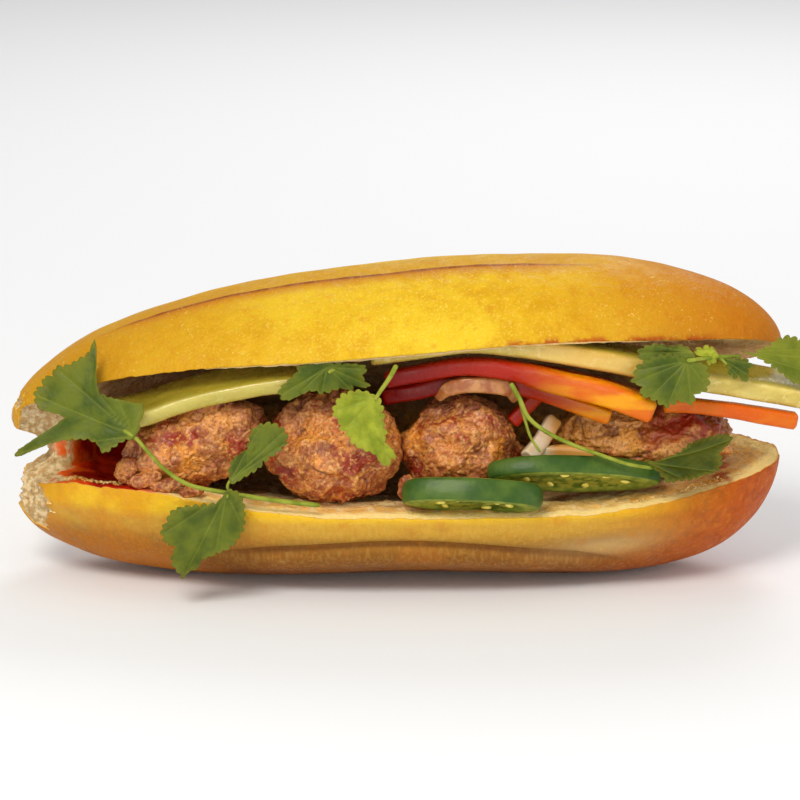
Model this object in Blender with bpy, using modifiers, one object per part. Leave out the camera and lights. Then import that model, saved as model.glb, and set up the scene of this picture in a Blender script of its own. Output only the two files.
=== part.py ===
"""Banh mi sandwich: one short loaf slit along its front and hinged at the back, its left end torn
off, filled with four meatballs, two cucumber slabs, carrot and daikon strips, two slices of green
chilli and sprigs of coriander.

Frame, in metres: +X to the loaf's whole right end, +Y to the hinge at the back, +Z up. The origin
is the centre of the flat sole.
"""

import math

import bmesh
import bpy
from mathutils import Matrix, Vector, noise

# The loaf
LOAF_LEFT = 0.1125  # from the middle to the left nose as baked, before it was torn
LOAF_RIGHT = 0.110
HALF_WIDTH = 0.037
PLAN_POWER = 2.4  # above 2, the sides run straighter and the noses are blunter than an ellipse's
PLAN_ROOT = 0.55

# The sole half
LIP_HEIGHT = 0.026  # the front cut edge in the middle of the loaf
LIP_RISE_LEFT = 0.0055
LIP_DROOP_LEFT = 0.004
LIP_RISE_RIGHT = 0.009
SOLE_SINK = 0.0008  # how far the round underside would reach below the flat sole
SOLE_POWER = 5.0

# The crown half
CROWN_HEIGHT = 0.035
CROWN_TILT = math.radians(25)  # the front edge stands up by this much
CROWN_BACK = 0.003  # its centre line sits this far behind the sole's
CROWN_CENTRE = 0.0552
CROWN_SLOPE = math.tan(math.radians(5.55))  # it opens wider towards the right

# The baked slash along the crown: a shelf behind a raised lip
SLASH_REAR = math.radians(93)
SLASH_LIP = math.radians(119)
SLASH_DEPTH = 0.0032
SLASH_LEFT = -0.090
SLASH_RIGHT = 0.062
SLASH_SHARP = math.radians(30)  # the mesh is finer within this turn of the raised lip

# The slit
HINGE = 0.007
NOTCH_BACK = -0.004  # at the left nose the knife only notched the front
NOTCH_FROM = -0.084
NOTCH_TO = -0.098
TROUGH = 0.0048
HOLLOW = 0.0115  # the crumb pressed up over the filling
KNIFE_DRIFT = 0.0030  # the cut wanders up into the crown half, most of all at the left
TEAR_AT = -0.1095
TEAR_PIT = 0.0085
TEAR_SLANT = 0.9  # the sole half is torn further back at the front
TEAR_SHRED = 0.0035  # a shred of crumb still hangs from the crown half

SIDES = 38
RINGS = 34


# ---------------------------------------------------------------- small helpers

def smooth(start, end, value):
    share = min(max((value - start) / (end - start), 0.0), 1.0)
    return share * share * (3.0 - 2.0 * share)


def bell(value, centre, width):
    return math.exp(-(((value - centre) / width) ** 2))


def collection(name):
    made = bpy.data.collections.new(name)
    bpy.context.scene.collection.children.link(made)
    return made


def material(name, colour, roughness):
    made = bpy.data.materials.new(name)
    made.use_nodes = True
    shader = made.node_tree.nodes["Principled BSDF"]
    shader.inputs["Base Color"].default_value = (*colour, 1.0)
    shader.inputs["Roughness"].default_value = roughness
    shader.inputs["Metallic"].default_value = 0.0
    return made


def solid(name, bm, home, surface=None):
    bmesh.ops.recalc_face_normals(bm, faces=bm.faces)
    mesh = bpy.data.meshes.new(name)
    bm.to_mesh(mesh)
    bm.free()
    mesh.shade_smooth()
    made = bpy.data.objects.new(name, mesh)
    home.objects.link(made)
    if surface:
        mesh.materials.append(surface)
    return made


def hide(tool):
    tool.hide_render = True
    tool.display_type = "WIRE"
    return tool


def boolean(target, tool, operation):
    step = target.modifiers.new(operation.title(), "BOOLEAN")
    step.operation = operation
    step.solver = "EXACT"
    step.object = hide(tool)


def along(points, share):
    """A point and a direction on the smooth curve that runs through the points."""
    spans = len(points) - 1
    place = min(share, 0.999999) * spans
    index = int(place)
    t = place - index
    b, c = Vector(points[index]), Vector(points[index + 1])
    a = Vector(points[index - 1]) if index > 0 else b + (b - c)
    d = Vector(points[index + 2]) if index + 2 <= spans else c + (c - b)
    point = 0.5 * (
        2 * b + (c - a) * t + (2 * a - 5 * b + 4 * c - d) * t * t + (3 * b - a - 3 * c + d) * t ** 3
    )
    direction = 0.5 * (
        (c - a) + 2 * (2 * a - 5 * b + 4 * c - d) * t + 3 * (3 * b - a - 3 * c + d) * t * t
    )
    return point, direction.normalized()


# ---------------------------------------------------------------- the loaf's shape

def plan(x):
    """The loaf's half width at x, as a share of its half width in the middle."""
    u = min(abs(x) / (LOAF_LEFT if x < 0 else LOAF_RIGHT), 1.0)
    return (1.0 - u ** PLAN_POWER) ** PLAN_ROOT


def lip_height(x):
    rise = LIP_RISE_LEFT * smooth(-0.015, -0.080, x) - LIP_DROOP_LEFT * smooth(-0.090, -0.112, x)
    nose = max((x - 0.050) / 0.060, 0.0)
    return LIP_HEIGHT + rise + LIP_RISE_RIGHT * min(nose, 1.0) ** 1.5


def sole_depth(x):
    u = min(abs(x) / (LOAF_LEFT if x < 0 else LOAF_RIGHT), 1.0)
    root = 0.48 if x < 0 else 0.54
    return (lip_height(x) + SOLE_SINK) * (1.0 - u ** SOLE_POWER) ** root


def crown_centre(x):
    return CROWN_CENTRE + x * CROWN_SLOPE


def sole_point(x, angle):
    """A point of the sole half's crust: half a turn is the front lip, a full turn the hinge."""
    half = HALF_WIDTH * plan(x)
    y = half * math.cos(angle)
    z = lip_height(x) + sole_depth(x) * math.sin(angle)
    return Vector((x, y, max(z, 0.0)))


def crown_point(x, angle):
    """A point of the crown half's crust: zero is the hinge, half a turn the front lip."""
    shelf = max(min((angle - SLASH_REAR) / (SLASH_LIP - SLASH_REAR), 1.15), 0.0)
    dip = shelf * (1.0 - smooth(0.88, 1.12, shelf)) * SLASH_DEPTH
    dip *= smooth(SLASH_LEFT, SLASH_LEFT + 0.022, x)
    dip *= 1.0 - smooth(SLASH_RIGHT - 0.030, SLASH_RIGHT, x)
    across = (HALF_WIDTH * plan(x) - dip) * math.cos(angle)
    up = (CROWN_HEIGHT * plan(x) - dip) * math.sin(angle)
    y = CROWN_BACK + across * math.cos(CROWN_TILT) + up * math.sin(CROWN_TILT)
    z = crown_centre(x) - across * math.sin(CROWN_TILT) + up * math.cos(CROWN_TILT)
    return Vector((x, y, z))


def finer_at_slash(angle):
    off = angle - SLASH_LIP
    if abs(off) >= SLASH_SHARP:
        return angle
    return SLASH_LIP + math.copysign(SLASH_SHARP * abs(off / SLASH_SHARP) ** 1.6, off)


OVERRUN = 0.10  # the crust of each half runs on this far past its cut, in radians
HINGE_TURN = 0.35
SOLE_SHARE, HINGE_SHARE, CROWN_SHARE = 0.41, 0.50, 0.91  # where each stretch of the section ends


def loaf_point(x, share):
    """A point of the opened, unslit loaf, going round from the front lip under the sole."""
    front, back = math.pi, 2 * math.pi
    if share < SOLE_SHARE:
        part = share / SOLE_SHARE
        return sole_point(x, front - OVERRUN + part * (front + OVERRUN - HINGE_TURN))
    if share < HINGE_SHARE:
        part = (share - SOLE_SHARE) / (HINGE_SHARE - SOLE_SHARE)
        turn = HINGE_TURN * (2 * part - 1)
        return sole_point(x, back + turn).lerp(crown_point(x, turn), smooth(0, 1, part))
    if share < CROWN_SHARE:
        part = (share - HINGE_SHARE) / (CROWN_SHARE - HINGE_SHARE)
        turn = HINGE_TURN + part * (front + OVERRUN - HINGE_TURN)
        return crown_point(x, finer_at_slash(turn))
    part = (share - CROWN_SHARE) / (1.0 - CROWN_SHARE)
    return crown_point(x, front + OVERRUN).lerp(sole_point(x, front - OVERRUN), part)


def slit_back(x):
    """How far back the slit reaches: to the hinge, through it at the right, a notch at the left."""
    web = HINGE - 0.024 * smooth(0.070, 0.112, x)
    deep = HALF_WIDTH * plan(x) - web
    return deep + (NOTCH_BACK - deep) * smooth(NOTCH_FROM, NOTCH_TO, x)


def slit_floor(x, y):
    middle = max(1.0 - (y / 0.030) ** 2, 0.0)
    trough = TROUGH * middle * smooth(-0.100, -0.075, x) * (1.0 - smooth(0.036, 0.062, x))
    return lip_height(x) - trough + 0.006 * smooth(0.0, 0.034, y)


def slit_roof(x, y):
    level = crown_centre(x) - (y - CROWN_BACK) * math.tan(CROWN_TILT)
    half = max(HALF_WIDTH * plan(x), 0.001)
    middle = max(1.0 - ((y + 0.003) / (0.74 * half)) ** 2, 0.0)
    ends = smooth(-0.100, -0.075, x) * (1.0 - smooth(0.075, 0.100, x))
    hollow = HOLLOW * middle ** 0.7 * plan(x) ** 1.5 * ends
    return level + hollow + KNIFE_DRIFT * (bell(x, -0.068, 0.035) + 0.4 * bell(x, 0.045, 0.030))


def make_loaf(home):
    bm = bmesh.new()
    bmesh.ops.create_uvsphere(bm, u_segments=SIDES, v_segments=RINGS, radius=1.0)
    for vert in bm.verts:
        u = max(min(vert.co.z, 1.0), -1.0)
        share = (math.atan2(vert.co.y, vert.co.x) / (2 * math.pi)) % 1.0
        x = u * (LOAF_LEFT if u < 0 else LOAF_RIGHT)
        vert.co = loaf_point(x, share)
    return solid("bread", bm, home)


def make_slit(home):
    """The wedge between the halves, as a block whose faces are bent to the floor and the roof."""
    bm = bmesh.new()
    bmesh.ops.create_cube(bm, size=2.0)
    for axis, cuts in ((0, 23), (1, 7), (2, 3)):
        normal = [0, 0, 0]
        normal[axis] = 1
        for step in range(cuts):
            place = [0, 0, 0]
            place[axis] = -1 + 2 * (step + 1) / (cuts + 1)
            geometry = bm.verts[:] + bm.edges[:] + bm.faces[:]
            bmesh.ops.bisect_plane(bm, geom=geometry, plane_co=place, plane_no=normal)
    front = -0.055
    for vert in bm.verts:
        s, t, v = vert.co
        x = 0.002 + 0.124 * math.sin(s * math.pi / 2)
        back = slit_back(x) - 0.004 * v * v
        lip = min(CROWN_BACK - 0.92 * HALF_WIDTH * plan(x), back - 0.006)
        y = lip + (back - lip) * (t + 0.75) / 1.75 if t > -0.9 else front
        floor, roof = slit_floor(x, y), slit_roof(x, y)
        vert.co = (x, y, floor + (roof - floor) * (v + 1) / 2)
    return solid("slit", bm, home)


def make_tear(home):
    """The ragged face where the left end was pulled off, deepest between the two crusts."""
    bm = bmesh.new()
    bmesh.ops.create_cube(bm, size=2.0)
    for axis, cuts in ((1, 9), (2, 21)):
        normal = [0, 0, 0]
        normal[axis] = 1
        for step in range(cuts):
            place = [0, 0, 0]
            place[axis] = -1 + 2 * (step + 1) / (cuts + 1)
            geometry = bm.verts[:] + bm.edges[:] + bm.faces[:]
            bmesh.ops.bisect_plane(bm, geom=geometry, plane_co=place, plane_no=normal)
    for vert in bm.verts:
        s, t, v = vert.co
        y, z = 0.032 * t, 0.038 + 0.040 * v
        x = -0.150
        if s > 0:
            ragged = 0.0016 * noise.noise(Vector((3.0, y * 180, z * 180)))
            pit = TEAR_PIT * math.exp(-(((z - 0.0352) / 0.0058) ** 4))
            slant = min(TEAR_SLANT * max(-y - 0.002, 0.0), 0.008) * (1.0 - smooth(0.027, 0.033, z))
            x = TEAR_AT + max(pit, slant) - TEAR_SHRED * bell(z, 0.0455, 0.0030) + ragged
        vert.co = (x, y, z)
    return solid("tear", bm, home)


def make_bread(parts, tools):
    loaf = make_loaf(parts)
    loaf.data.materials.append(material("crust", (0.84, 0.50, 0.10), 0.5))
    boolean(loaf, make_slit(tools), "DIFFERENCE")
    boolean(loaf, make_tear(tools), "DIFFERENCE")


# ---------------------------------------------------------------- meatballs

def make_meatball(parts, surface, name, centre, radii, turn, cut_top=None):
    """A hand-rolled ball: an uneven, lumpy ellipsoid, turned about Y; one is cut across its top."""
    bm = bmesh.new()
    bmesh.ops.create_uvsphere(bm, u_segments=16, v_segments=10, radius=1.0)
    seed = Vector(centre) * 900
    for vert in bm.verts:
        way = vert.co.normalized()
        lump = 0.10 * noise.noise(way * 1.7 + seed) + 0.06 * noise.noise(way * 4.1 + seed)
        point = way * (1.0 + lump - 0.03)
        if cut_top is not None and point.z > cut_top:
            point.z = cut_top + 0.25 * (point.z - cut_top)
        vert.co = Vector([size * value for size, value in zip(radii, point)])
    bmesh.ops.rotate(bm, verts=bm.verts, cent=(0, 0, 0), matrix=Matrix.Rotation(-turn, 3, "Y"))
    bmesh.ops.translate(bm, verts=bm.verts, vec=centre)
    solid(name, bm, parts, surface)


def make_meatballs(parts):
    surface = material("meat", (0.42, 0.17, 0.06), 0.45)
    tilt = math.radians
    make_meatball(parts, surface, "meatball_1", (-0.0580, -0.0105, 0.0405),
                        (0.0212, 0.0170, 0.0132), tilt(17))
    make_meatball(parts, surface, "meatball_2", (-0.0190, -0.0150, 0.0404),
                        (0.0192, 0.0180, 0.0168), tilt(0))
    make_meatball(parts, surface, "meatball_3", (0.0172, -0.0085, 0.0383),
                        (0.0172, 0.0155, 0.0155), tilt(8))
    make_meatball(parts, surface, "meatball_4", (0.0697, -0.0025, 0.0409),
                        (0.0264, 0.0165, 0.0120), tilt(-2), 0.62)


# ---------------------------------------------------------------- cut vegetables

def make_bar(name, home, surface, points, width, thick, steps, sides=8, square=0.6, roll=None,
             blunt=0.92, standing=(0, 0, 1)):
    """A strip that follows a smooth route. Its width lies square to the route and to standing."""
    bm = bmesh.new()
    bmesh.ops.create_cone(bm, cap_ends=True, segments=sides, radius1=1.0, radius2=1.0, depth=1.0)
    half_side = Matrix.Rotation(math.pi / sides, 3, "Z")
    bmesh.ops.rotate(bm, verts=bm.verts, cent=(0, 0, 0), matrix=half_side)
    long_edges = [e for e in bm.edges if abs(e.verts[0].co.z - e.verts[1].co.z) > 0.5]
    bmesh.ops.subdivide_edges(bm, edges=long_edges, cuts=steps - 1)
    for vert in bm.verts:
        share = vert.co.z + 0.5
        point, forward = along(points, share)
        across = forward.cross(Vector(standing)).normalized()
        up = across.cross(forward)
        if roll:
            turn = Matrix.Rotation(roll(share), 3, forward)
            across, up = turn @ across, turn @ up
        a = math.copysign(abs(vert.co.x) ** square, vert.co.x)
        b = math.copysign(abs(vert.co.y) ** square, vert.co.y)
        end = blunt if share < 0.001 or share > 0.999 else 1.0
        vert.co = point + across * (a * end * width / 2) + up * (b * end * thick(share) / 2)
    return solid(name, bm, home, surface)


def constant(value):
    return lambda share: value


def make_cucumber(parts):
    surface = material("cucumber", (0.60, 0.55, 0.16), 0.3)
    left = [(-0.0850, -0.0160, 0.0490), (-0.0730, -0.0168, 0.0518), (-0.0630, -0.0172, 0.0554),
            (-0.0510, -0.0174, 0.0587), (-0.0400, -0.0174, 0.0609), (-0.0290, -0.0172, 0.0622)]
    make_bar("cucumber_left", parts, surface, left, 0.0170, constant(0.0054), 10, square=0.55,
             roll=constant(math.radians(9)))
    right = [(-0.0080, -0.0170, 0.0672), (0.0100, -0.0172, 0.0697), (0.0230, -0.0172, 0.0709),
             (0.0430, -0.0172, 0.0690), (0.0620, -0.0165, 0.0665), (0.0850, -0.0140, 0.0617),
             (0.1000, -0.0115, 0.0585), (0.1150, -0.0085, 0.0550)]
    make_bar("cucumber_right", parts, surface, right, 0.0165,
             lambda share: 0.0048 + 0.0020 * smooth(0.20, 0.50, share), 14, square=0.55,
             roll=lambda share: math.radians(-12 + 20 * smooth(0.35, 0.75, share)))


CARROTS = (
    ((-0.0040, -0.0190, 0.0612), (0.0065, -0.0200, 0.0634), (0.0170, -0.0215, 0.0655),
     (0.0300, -0.0230, 0.0650), (0.0425, -0.0240, 0.0620), (0.0575, -0.0260, 0.0588),
     (0.0712, -0.0268, 0.0537)),
    ((-0.0050, -0.0110, 0.0540), (0.0050, -0.0120, 0.0562), (0.0150, -0.0135, 0.0588),
     (0.0260, -0.0150, 0.0594), (0.0360, -0.0170, 0.0580), (0.0470, -0.0190, 0.0548),
     (0.0595, -0.0215, 0.0508)),
    ((0.0425, -0.0115, 0.0578), (0.0370, -0.0118, 0.0522), (0.0318, -0.0122, 0.0468)),
    ((0.0300, -0.0165, 0.0642), (0.0450, -0.0175, 0.0622), (0.0590, -0.0185, 0.0588),
     (0.0700, -0.0195, 0.0545)),
    ((0.0745, -0.0200, 0.0540), (0.0850, -0.0200, 0.0535), (0.1000, -0.0180, 0.0508),
     (0.1125, -0.0160, 0.0482)),
)

CARROT_SIZES = ((0.0052, 0.0048, 0.0068), (0.0048, 0.0050, 0.0046), (0.0040, 0.0042, 0.0042),
                (0.0040, 0.0034, 0.0040), (0.0048, 0.0040, 0.0048))  # width, thickness at each end

DAIKON = (
    ((0.0112, -0.0205, 0.0540), (0.0125, -0.0215, 0.0583), (0.0190, -0.0225, 0.0604),
     (0.0260, -0.0225, 0.0602), (0.0305, -0.0215, 0.0578), (0.0308, -0.0205, 0.0540)),
    ((0.0440, -0.0120, 0.0475), (0.0400, -0.0175, 0.0425), (0.0362, -0.0220, 0.0390)),
    ((0.0400, -0.0180, 0.0375), (0.0470, -0.0185, 0.0380), (0.0550, -0.0190, 0.0375)),
)

DAIKON_SIZES = ((0.0046, 0.0036), (0.0046, 0.0036), (0.0040, 0.0034))


def make_strips(parts):
    carrot = material("carrot", (0.85, 0.20, 0.02), 0.35)
    for number, (route, (width, first, last)) in enumerate(zip(CARROTS, CARROT_SIZES), 1):
        make_bar(f"carrot_{number}", parts, carrot, route, width,
                 lambda share: first + (last - first) * smooth(0.35, 0.75, share), 2 * (len(route) - 1))
    daikon = material("daikon", (0.62, 0.42, 0.24), 0.35)
    for number, (route, (width, thick)) in enumerate(zip(DAIKON, DAIKON_SIZES), 1):
        make_bar(f"daikon_{number}", parts, daikon, route, width, constant(thick),
                 2 * (len(route) - 1), standing=(0, -1, 0))


# ---------------------------------------------------------------- green chilli slices

def make_chilli(parts, surface, name, centre, radii, thick, tilt, turn, roll):
    """A slice: a wall round a sunken middle of pith and seeds, oval because it was cut aslant."""
    bm = bmesh.new()
    half, sunk, wall = thick / 2, 0.0011, 0.72
    profile = [(0, sunk - half), (wall - 0.08, sunk - half), (wall, -half), (0.95, -half),
               (1.0, 0.0005 - half), (1.03, 0), (1.0, half - 0.0005), (0.95, half), (wall, half),
               (wall - 0.08, half - sunk), (0, half - sunk)]
    verts = [bm.verts.new((radius, 0, z)) for radius, z in profile]
    edges = [bm.edges.new(pair) for pair in zip(verts, verts[1:])]
    bmesh.ops.spin(bm, geom=verts + edges, axis=(0, 0, 1), cent=(0, 0, 0), steps=20,
                   angle=2 * math.pi, use_merge=True)
    bmesh.ops.remove_doubles(bm, verts=bm.verts, dist=0.00001)
    for vert in bm.verts:
        vert.co.x *= radii[0]
        vert.co.y *= radii[1]
    lean = Matrix.Rotation(roll, 4, "Y") @ Matrix.Rotation(-tilt, 4, "X")
    place = Matrix.Translation(centre) @ Matrix.Rotation(turn, 4, "Z") @ lean
    bmesh.ops.transform(bm, matrix=place, verts=bm.verts)
    solid(name, bm, parts, surface)


def make_chillies(parts):
    surface = material("green_chilli", (0.10, 0.20, 0.03), 0.2)
    turn = math.radians
    make_chilli(parts, surface, "chilli_1", (0.0190, -0.0338, 0.0322), (0.0190, 0.0080), 0.0078,
                turn(22), turn(-3), turn(1.5))
    make_chilli(parts, surface, "chilli_2", (0.0502, -0.0236, 0.0350), (0.0248, 0.0085), 0.0058,
                turn(30), turn(8), turn(5))


# ---------------------------------------------------------------- coriander

BLADE = 0.0007
STEM = 0.0008


def make_blade(name, home, surface, base, ahead, facing, lobes, droop=0.0, cup=0.0, steps=16):
    """One leaflet: a fan that grows from its base, its edge the outermost of its lobes.

    A lobe is how far it turns from straight ahead, its reach and half the angle it fills. Turns go
    anticlockwise for someone whom the leaflet faces.
    """
    base, ahead, facing = Vector(base), Vector(ahead).normalized(), Vector(facing)
    side = facing.cross(ahead).normalized()
    up = ahead.cross(side)
    first = min(turn - 0.9 * half for turn, reach, half in lobes)
    last = max(turn + 0.9 * half for turn, reach, half in lobes)
    longest = max(reach for turn, reach, half in lobes)
    bm = bmesh.new()
    bmesh.ops.create_grid(bm, x_segments=steps, y_segments=2, size=1.0)
    for vert in bm.verts:
        turn = first + (last - first) * (vert.co.x + 1) / 2
        edge = 0.22 * longest
        for at, reach, half in lobes:
            edge = max(edge, reach * math.sqrt(max(1.0 - ((turn - at) / half) ** 2, 0.0)))
        out = 0.0010 + (edge - 0.0010) * (vert.co.y + 1) / 2
        angle = math.radians(turn)
        height = (-droop * (out / longest) ** 2 + cup * (angle * out / longest) ** 2) * longest
        flat = ahead * (out * math.cos(angle)) + side * (out * math.sin(angle))
        vert.co = base + flat + up * height
    blade = solid(name, bm, home, surface)
    shell = blade.modifiers.new("Thickness", "SOLIDIFY")
    shell.thickness = BLADE
    shell.offset = 0.0
    return blade


def make_stem(name, home, surface, points, radius=STEM):
    return make_bar(name, home, surface, points, 2 * radius, constant(2 * radius), 2 * (len(points) - 1),
                    sides=6, square=1.0, blunt=0.8, standing=(0.1, -1, 0.05))


def make_sprig(name, parts, tools, surface, stems, blades):
    """A sprig is one piece: its stem and leaflets are joined into one solid."""
    whole = make_stem(name, parts, surface, stems[0])
    for number, points in enumerate(stems[1:]):
        boolean(whole, make_stem(f"{name}_twig_{number}", tools, surface, points, 0.0007), "UNION")
    for number, blade in enumerate(blades):
        boolean(whole, make_blade(f"{name}_blade_{number}", tools, surface, **blade), "UNION")


def make_coriander(parts, tools):
    surface = material("coriander", (0.14, 0.19, 0.03), 0.45)
    make_sprig(
        "coriander_left", parts, tools, surface,
        stems=[
            ((-0.0225, -0.0352, 0.0288), (-0.0350, -0.0362, 0.0306), (-0.0475, -0.0358, 0.0325),
             (-0.0587, -0.0345, 0.0345), (-0.0657, -0.0330, 0.0385), (-0.0705, -0.0315, 0.0435),
             (-0.0750, -0.0300, 0.0478), (-0.0800, -0.0276, 0.0524), (-0.0850, -0.0256, 0.0558)),
            ((-0.0472, -0.0358, 0.0322), (-0.0482, -0.0368, 0.0350), (-0.0462, -0.0370, 0.0385)),
            ((-0.0468, -0.0356, 0.0328), (-0.0478, -0.0385, 0.0312), (-0.0495, -0.0398, 0.0280)),
        ],
        blades=[
            dict(base=(-0.0852, -0.0255, 0.0560), ahead=(-0.97, 0.205, -0.024),
                 facing=(-0.20, -0.90, 0.40), steps=36,
                 lobes=((-82, 0.0205, 10), (-63, 0.0158, 25), (-31, 0.0170, 22), (-14, 0.0188, 16),
                        (0, 0.0192, 14), (14, 0.0150, 16), (35, 0.0292, 11), (62, 0.0130, 22),
                        (101, 0.0155, 22), (145, 0.0120, 24), (180, 0.0150, 20))),
            dict(base=(-0.0475, -0.0369, 0.0366), ahead=(0.72, 0.04, 0.70),
                 facing=(0.05, -0.98, 0.15), droop=0.06, steps=12,
                 lobes=((-12, 0.0195, 11), (3, 0.0205, 12), (18, 0.0170, 12))),
            dict(base=(-0.0485, -0.0394, 0.0300), ahead=(-0.47, -0.03, -0.88),
                 facing=(0.03, -0.99, 0.05), droop=0.03,
                 lobes=((-42, 0.0180, 20), (-16, 0.0205, 17), (3, 0.0250, 17), (24, 0.0195, 18),
                        (46, 0.0160, 18))),
        ],
    )
    make_sprig(
        "coriander_edge", parts, tools, surface,
        stems=[((-0.0165, -0.0265, 0.0655), (-0.0185, -0.0278, 0.0662), (-0.0200, -0.0285, 0.0640))],
        blades=[
            dict(base=(-0.0185, -0.0282, 0.0662), ahead=(-0.34, -0.05, -0.94), facing=(0.0, -0.98, 0.1),
                 lobes=((-42, 0.0170, 17), (-14, 0.0095, 22), (8, 0.0070, 22), (57, 0.0090, 16),
                        (80, 0.0105, 16))),
        ],
    )
    make_sprig(
        "coriander_light", parts, tools, surface,
        stems=[((-0.0010, -0.0300, 0.0680), (-0.0030, -0.0330, 0.0650), (-0.0058, -0.0360, 0.0614),
                (-0.0072, -0.0370, 0.0590))],
        blades=[
            dict(base=(-0.0060, -0.0364, 0.0611), ahead=(-0.50, -0.06, -0.86), facing=(0.0, -0.99, 0.08),
                 lobes=((-65, 0.0080, 20), (-38, 0.0135, 20), (-10, 0.0150, 20), (20, 0.0160, 18),
                        (38, 0.0200, 9))),
        ],
    )
    make_sprig(
        "coriander_middle", parts, tools, surface,
        stems=[
            ((0.0310, -0.0285, 0.0625), (0.0335, -0.0300, 0.0582), (0.0360, -0.0302, 0.0530),
             (0.0414, -0.0306, 0.0487), (0.0492, -0.0310, 0.0450), (0.0560, -0.0312, 0.0425),
             (0.0640, -0.0314, 0.0398), (0.0710, -0.0300, 0.0382)),
            ((0.0332, -0.0299, 0.0588), (0.0348, -0.0290, 0.0530), (0.0366, -0.0285, 0.0470),
             (0.0395, -0.0288, 0.0425)),
        ],
        blades=[
            dict(base=(0.0690, -0.0304, 0.0385), ahead=(0.93, 0.36, 0.22),
                 facing=(0.12, -0.62, 0.77), steps=16,
                 lobes=((14, 0.0195, 12), (3, 0.0262, 10), (-9, 0.0220, 10), (-19, 0.0175, 12),
                        (-34, 0.0125, 14))),
        ],
    )
    make_sprig(
        "coriander_right", parts, tools, surface,
        stems=[
            ((0.0800, -0.0290, 0.0690), (0.0850, -0.0276, 0.0694), (0.0900, -0.0248, 0.0692),
             (0.0960, -0.0212, 0.0680), (0.1025, -0.0182, 0.0664)),
            ((0.0925, -0.0226, 0.0686), (0.0935, -0.0236, 0.0676), (0.0940, -0.0240, 0.0660)),
        ],
        blades=[
            dict(base=(0.0815, -0.0290, 0.0691), ahead=(-0.50, -0.08, -0.84),
                 facing=(-0.05, -0.98, 0.17), droop=0.05, steps=18,
                 lobes=((-60, 0.0150, 16), (-45, 0.0165, 16), (-25, 0.0180, 16), (0, 0.0172, 18),
                        (25, 0.0150, 16), (52, 0.0100, 20))),
            dict(base=(0.0938, -0.0238, 0.0668), ahead=(0.05, -0.02, -1.0),
                 facing=(0.05, -0.99, 0.05), steps=14,
                 lobes=((-30, 0.0070, 9), (-8, 0.0078, 10), (14, 0.0080, 10), (38, 0.0074, 10),
                        (62, 0.0058, 12))),
            dict(base=(0.0995, -0.0190, 0.0672), ahead=(0.94, 0.20, -0.09),
                 facing=(0.15, -0.93, 0.33), droop=0.05,
                 lobes=((33, 0.0110, 14), (22, 0.0160, 13), (6, 0.0190, 14), (-12, 0.0200, 14),
                        (-28, 0.0205, 12))),
        ],
    )


def main():
    for old in list(bpy.data.objects):
        bpy.data.objects.remove(old)
    parts = collection("banh_mi")
    tools = collection("cutters")
    make_bread(parts, tools)
    make_meatballs(parts)
    make_cucumber(parts)
    make_strips(parts)
    make_chillies(parts)
    make_coriander(parts, tools)


main()
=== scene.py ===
"""The banh mi sandwich, dressed: one short crusty loaf with its filling, on a pale studio floor."""

import math
import random

import bmesh
import bpy
from mathutils import Matrix, Vector, bvhtree, kdtree, noise


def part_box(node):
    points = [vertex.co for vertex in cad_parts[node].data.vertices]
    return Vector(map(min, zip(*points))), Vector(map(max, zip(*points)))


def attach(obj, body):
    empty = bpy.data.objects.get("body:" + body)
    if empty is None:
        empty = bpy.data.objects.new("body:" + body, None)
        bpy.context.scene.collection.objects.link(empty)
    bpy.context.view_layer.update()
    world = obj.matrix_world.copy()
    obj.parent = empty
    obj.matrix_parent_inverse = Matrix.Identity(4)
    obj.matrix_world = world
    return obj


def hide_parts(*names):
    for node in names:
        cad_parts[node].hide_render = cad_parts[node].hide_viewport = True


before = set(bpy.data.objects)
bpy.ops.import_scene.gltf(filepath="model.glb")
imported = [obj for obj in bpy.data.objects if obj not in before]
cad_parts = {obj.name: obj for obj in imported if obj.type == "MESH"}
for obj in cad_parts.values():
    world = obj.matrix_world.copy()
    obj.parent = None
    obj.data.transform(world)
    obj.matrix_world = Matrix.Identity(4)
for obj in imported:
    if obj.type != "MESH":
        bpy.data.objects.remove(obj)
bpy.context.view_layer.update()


# ---------------------------------------------------------------- the loaf's form
# One short wheat loaf: a thin golden crust round a soft crumb, baked on a tray, so its sole is
# flat. It was slashed along the crown before baking and slit along the front after it, and it is
# propped open on a hinge at its back. Its left end was pulled off by hand.

LOAF_LEFT = 0.1125
LOAF_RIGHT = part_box("bread")[1][0]
HALF_WIDTH = -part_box("bread")[0][1]
PLAN_POWER = 2.4
PLAN_ROOT = 0.55
LIP_HEIGHT = 0.026
LIP_RISE_LEFT = 0.0055
LIP_DROOP_LEFT = 0.004
LIP_RISE_RIGHT = 0.009
SOLE_SINK = 0.0008
SOLE_POWER = 5.0
CROWN_HEIGHT = 0.035
CROWN_TILT = math.radians(25)
CROWN_BACK = 0.003
CROWN_CENTRE = 0.0552
CROWN_SLOPE = math.tan(math.radians(5.55))
SLASH_REAR = math.radians(93)
SLASH_LIP = math.radians(127)
SLASH_DEPTH = 0.0038
SLASH_LEFT = -0.090
SLASH_RIGHT = 0.062
HINGE = 0.007
NOTCH_BACK = -0.004
NOTCH_FROM = -0.084
NOTCH_TO = -0.098
TROUGH = 0.0048
HOLLOW = 0.0115
KNIFE_DRIFT = 0.0030
TEAR_AT = -0.1095
TEAR_PIT = 0.0085
TEAR_SLANT = 0.9
TEAR_SHRED = 0.0035
OVERRUN = 0.10
HINGE_TURN = 0.35
SOLE_SHARE = 0.41
HINGE_SHARE = 0.50
CROWN_SHARE = 0.91
CREASE_TURN = 0.36  # below the front lip, where the sole's side folded as the loaf was pressed
CREASE_DEPTH = 0.0019
ARCH = 0.0016  # how far the front of the sole stands off the table in the middle


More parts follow.
